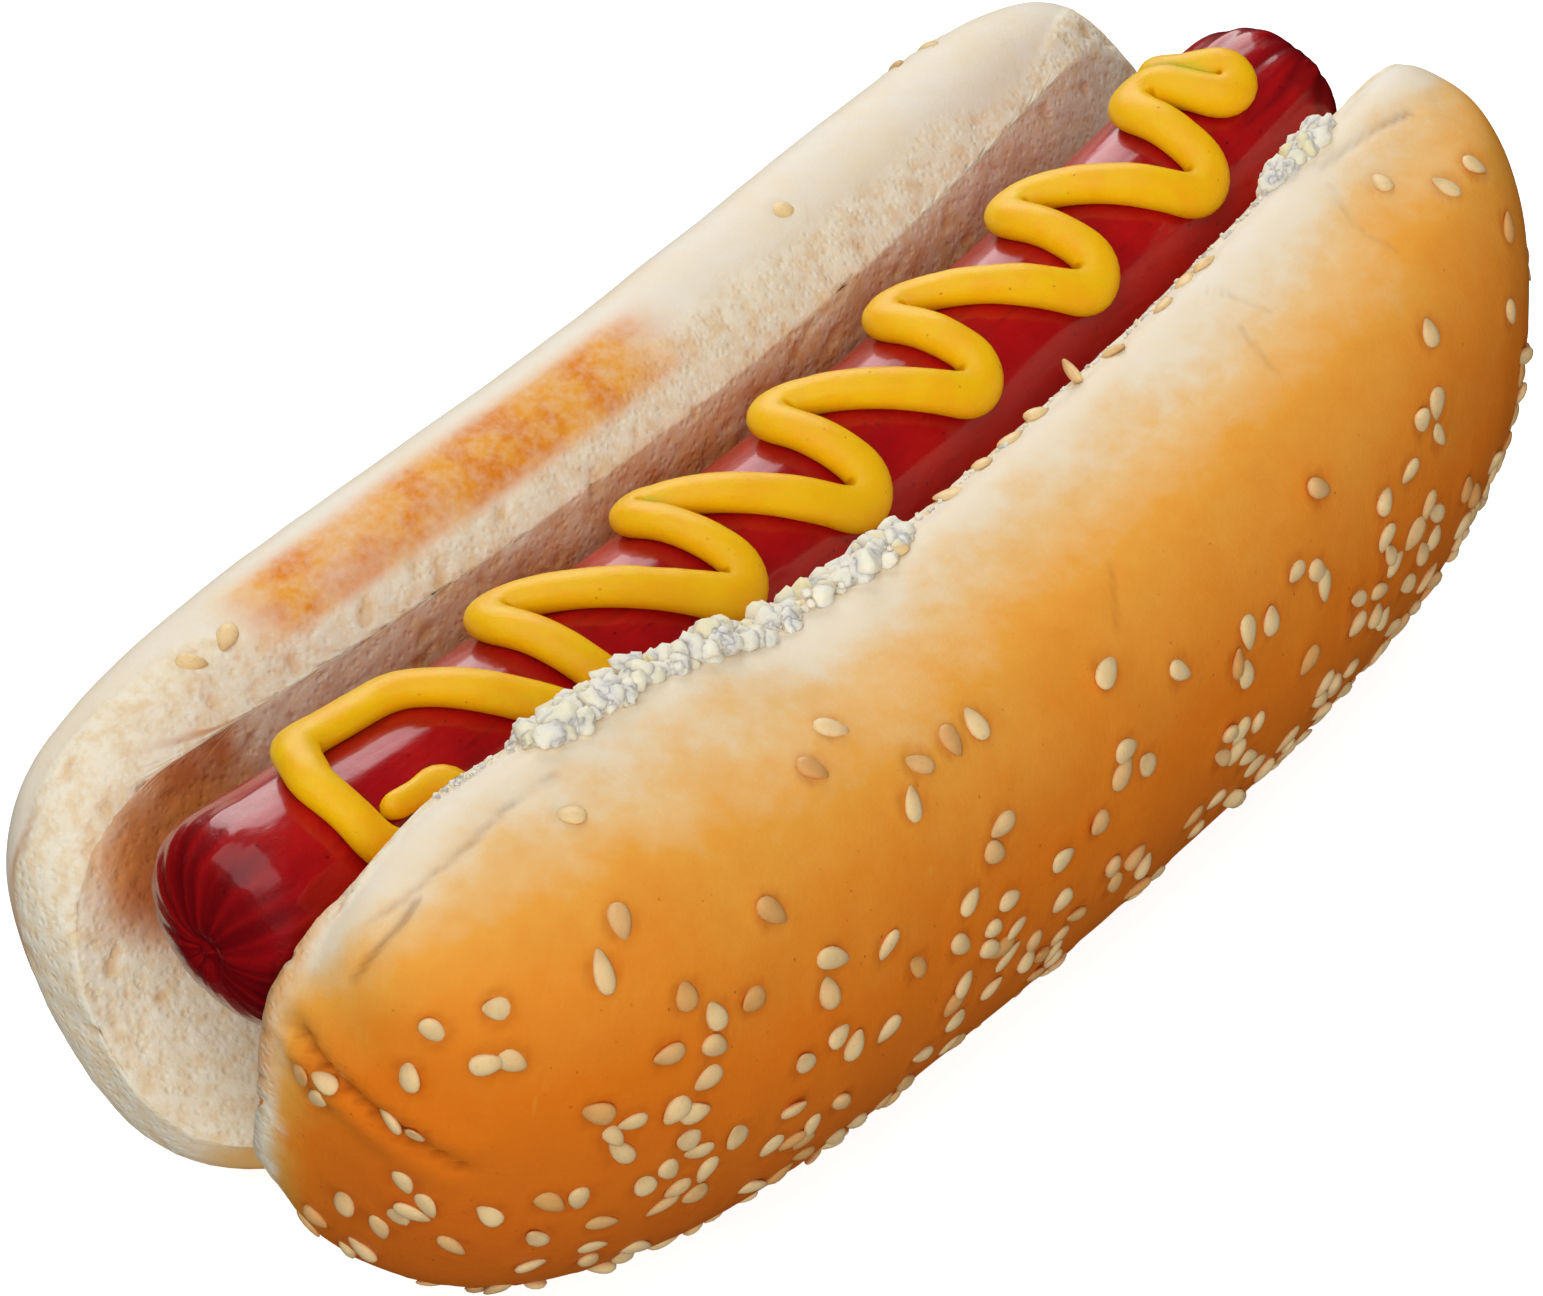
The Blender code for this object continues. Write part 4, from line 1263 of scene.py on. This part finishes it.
class HOTDOG_OT_stage(bpy.types.Operator):
    """Makes the plain floor, the soft light and the camera"""
    bl_idname = "hotdog.stage"
    bl_label = "Stage"

    def execute(self, context):
        settings = context.scene.hot_dog.stage
        half = settings.floor_size / 2
        mesh = bpy.data.meshes.new("floor")
        mesh.from_pydata([(-half, -half, 0), (half, -half, 0), (half, half, 0), (-half, half, 0)], [], [(0, 1, 2, 3)])
        finish = Finish("plain_floor")
        shade = finish.noise(300.0, 1.0)
        tint = linear(settings.floor_colour)
        colour = finish.mix(shade, tint, [value * 0.985 for value in tint[:3]] + [1.0])
        mesh.materials.append(finish.done(
            Base_Color=colour, Roughness=0.9, Specular_IOR_Level=0.2, Emission_Color=(1.0, 1.0, 1.0, 1.0),
            Emission_Strength=settings.glow))
        floor = bpy.data.objects.new("floor", mesh)
        context.collection.objects.link(floor)
        floor.visible_glossy = False
        floor.visible_diffuse = False
        world = bpy.data.worlds.new("soft_sky")
        world.use_nodes = True
        sky = world.node_tree.nodes["Background"]
        sky.inputs["Color"].default_value = (1.0, 0.99, 0.98, 1)
        sky.inputs["Strength"].default_value = settings.sky
        world.cycles_visibility.glossy = False
        context.scene.world = world
        context.scene.view_settings.view_transform = "Standard"
        target = np.array([-5.38, -2.06, 28.0]) * MM + PLACE
        area_light("key_light", (0.55, 0.72, 0.42), 0.75, 0.50, settings.key, target)
        area_light("top_light", (-0.30, 0.10, 0.95), 0.90, 1.00, settings.top, target)
        fill = area_light("fill_light", (-0.62, -0.64, 0.40), 1.30, 1.10, settings.fill, target)
        fill.visible_glossy = False
        data = bpy.data.cameras.new("camera")
        data.lens = settings.lens
        data.sensor_width = 36.0
        data.clip_start = 0.01
        camera = bpy.data.objects.new("camera", data)
        a, e = settings.azimuth, settings.elevation
        toward = np.array([np.sin(a) * np.cos(e), -np.cos(a) * np.cos(e), np.sin(e)])
        camera.location = target + toward * settings.distance
        camera.rotation_euler = (np.pi / 2 - e, 0, a)
        context.collection.objects.link(camera)
        context.scene.camera = camera
        return {"FINISHED"}


class HOTDOG_PT_pieces(bpy.types.Panel):
    """Lists the pieces of the hot dog and their settings"""
    bl_label = "Hot Dog"
    bl_idname = "HOTDOG_PT_pieces"
    bl_space_type = "VIEW_3D"
    bl_region_type = "UI"
    bl_category = "Hot Dog"

    def draw(self, context):
        for piece, group in PIECES:
            box = self.layout.box()
            box.operator(piece.bl_idname)
            settings = getattr(context.scene.hot_dog, group)
            for name in settings.bl_rna.properties.keys():
                if name not in ("rna_type", "name"):
                    box.prop(settings, name)


PIECES = (
    (HOTDOG_OT_stage, "stage"),
    (HOTDOG_OT_sausage, "sausage"),
    (HOTDOG_OT_mustard, "mustard"),
    (HOTDOG_OT_bread, "bread"),
    (HOTDOG_OT_seeds, "seeds"),
    (HOTDOG_OT_crumbs, "crumbs"),
)
CLASSES = (
    BreadSettings, SausageSettings, MustardSettings, SeedSettings, CrumbSettings, StageSettings, HotDogSettings,
    HOTDOG_OT_stage, HOTDOG_OT_sausage, HOTDOG_OT_mustard, HOTDOG_OT_bread, HOTDOG_OT_seeds, HOTDOG_OT_crumbs,
    HOTDOG_PT_pieces,
)


def register():
    for item in CLASSES:
        bpy.utils.register_class(item)
    bpy.types.Scene.hot_dog = bpy.props.PointerProperty(
        type=HotDogSettings, name="Hot dog", description="Sizes and colours of the hot dog")


def unregister():
    del bpy.types.Scene.hot_dog
    for item in reversed(CLASSES):
        bpy.utils.unregister_class(item)


def main():
    """Makes every piece in order."""
    register()
    bpy.ops.hotdog.stage()
    bpy.ops.hotdog.sausage()
    bpy.ops.hotdog.mustard()
    bpy.ops.hotdog.bread()
    bpy.ops.hotdog.seeds()
    bpy.ops.hotdog.crumbs()


if __name__ == "__main__":
    main()
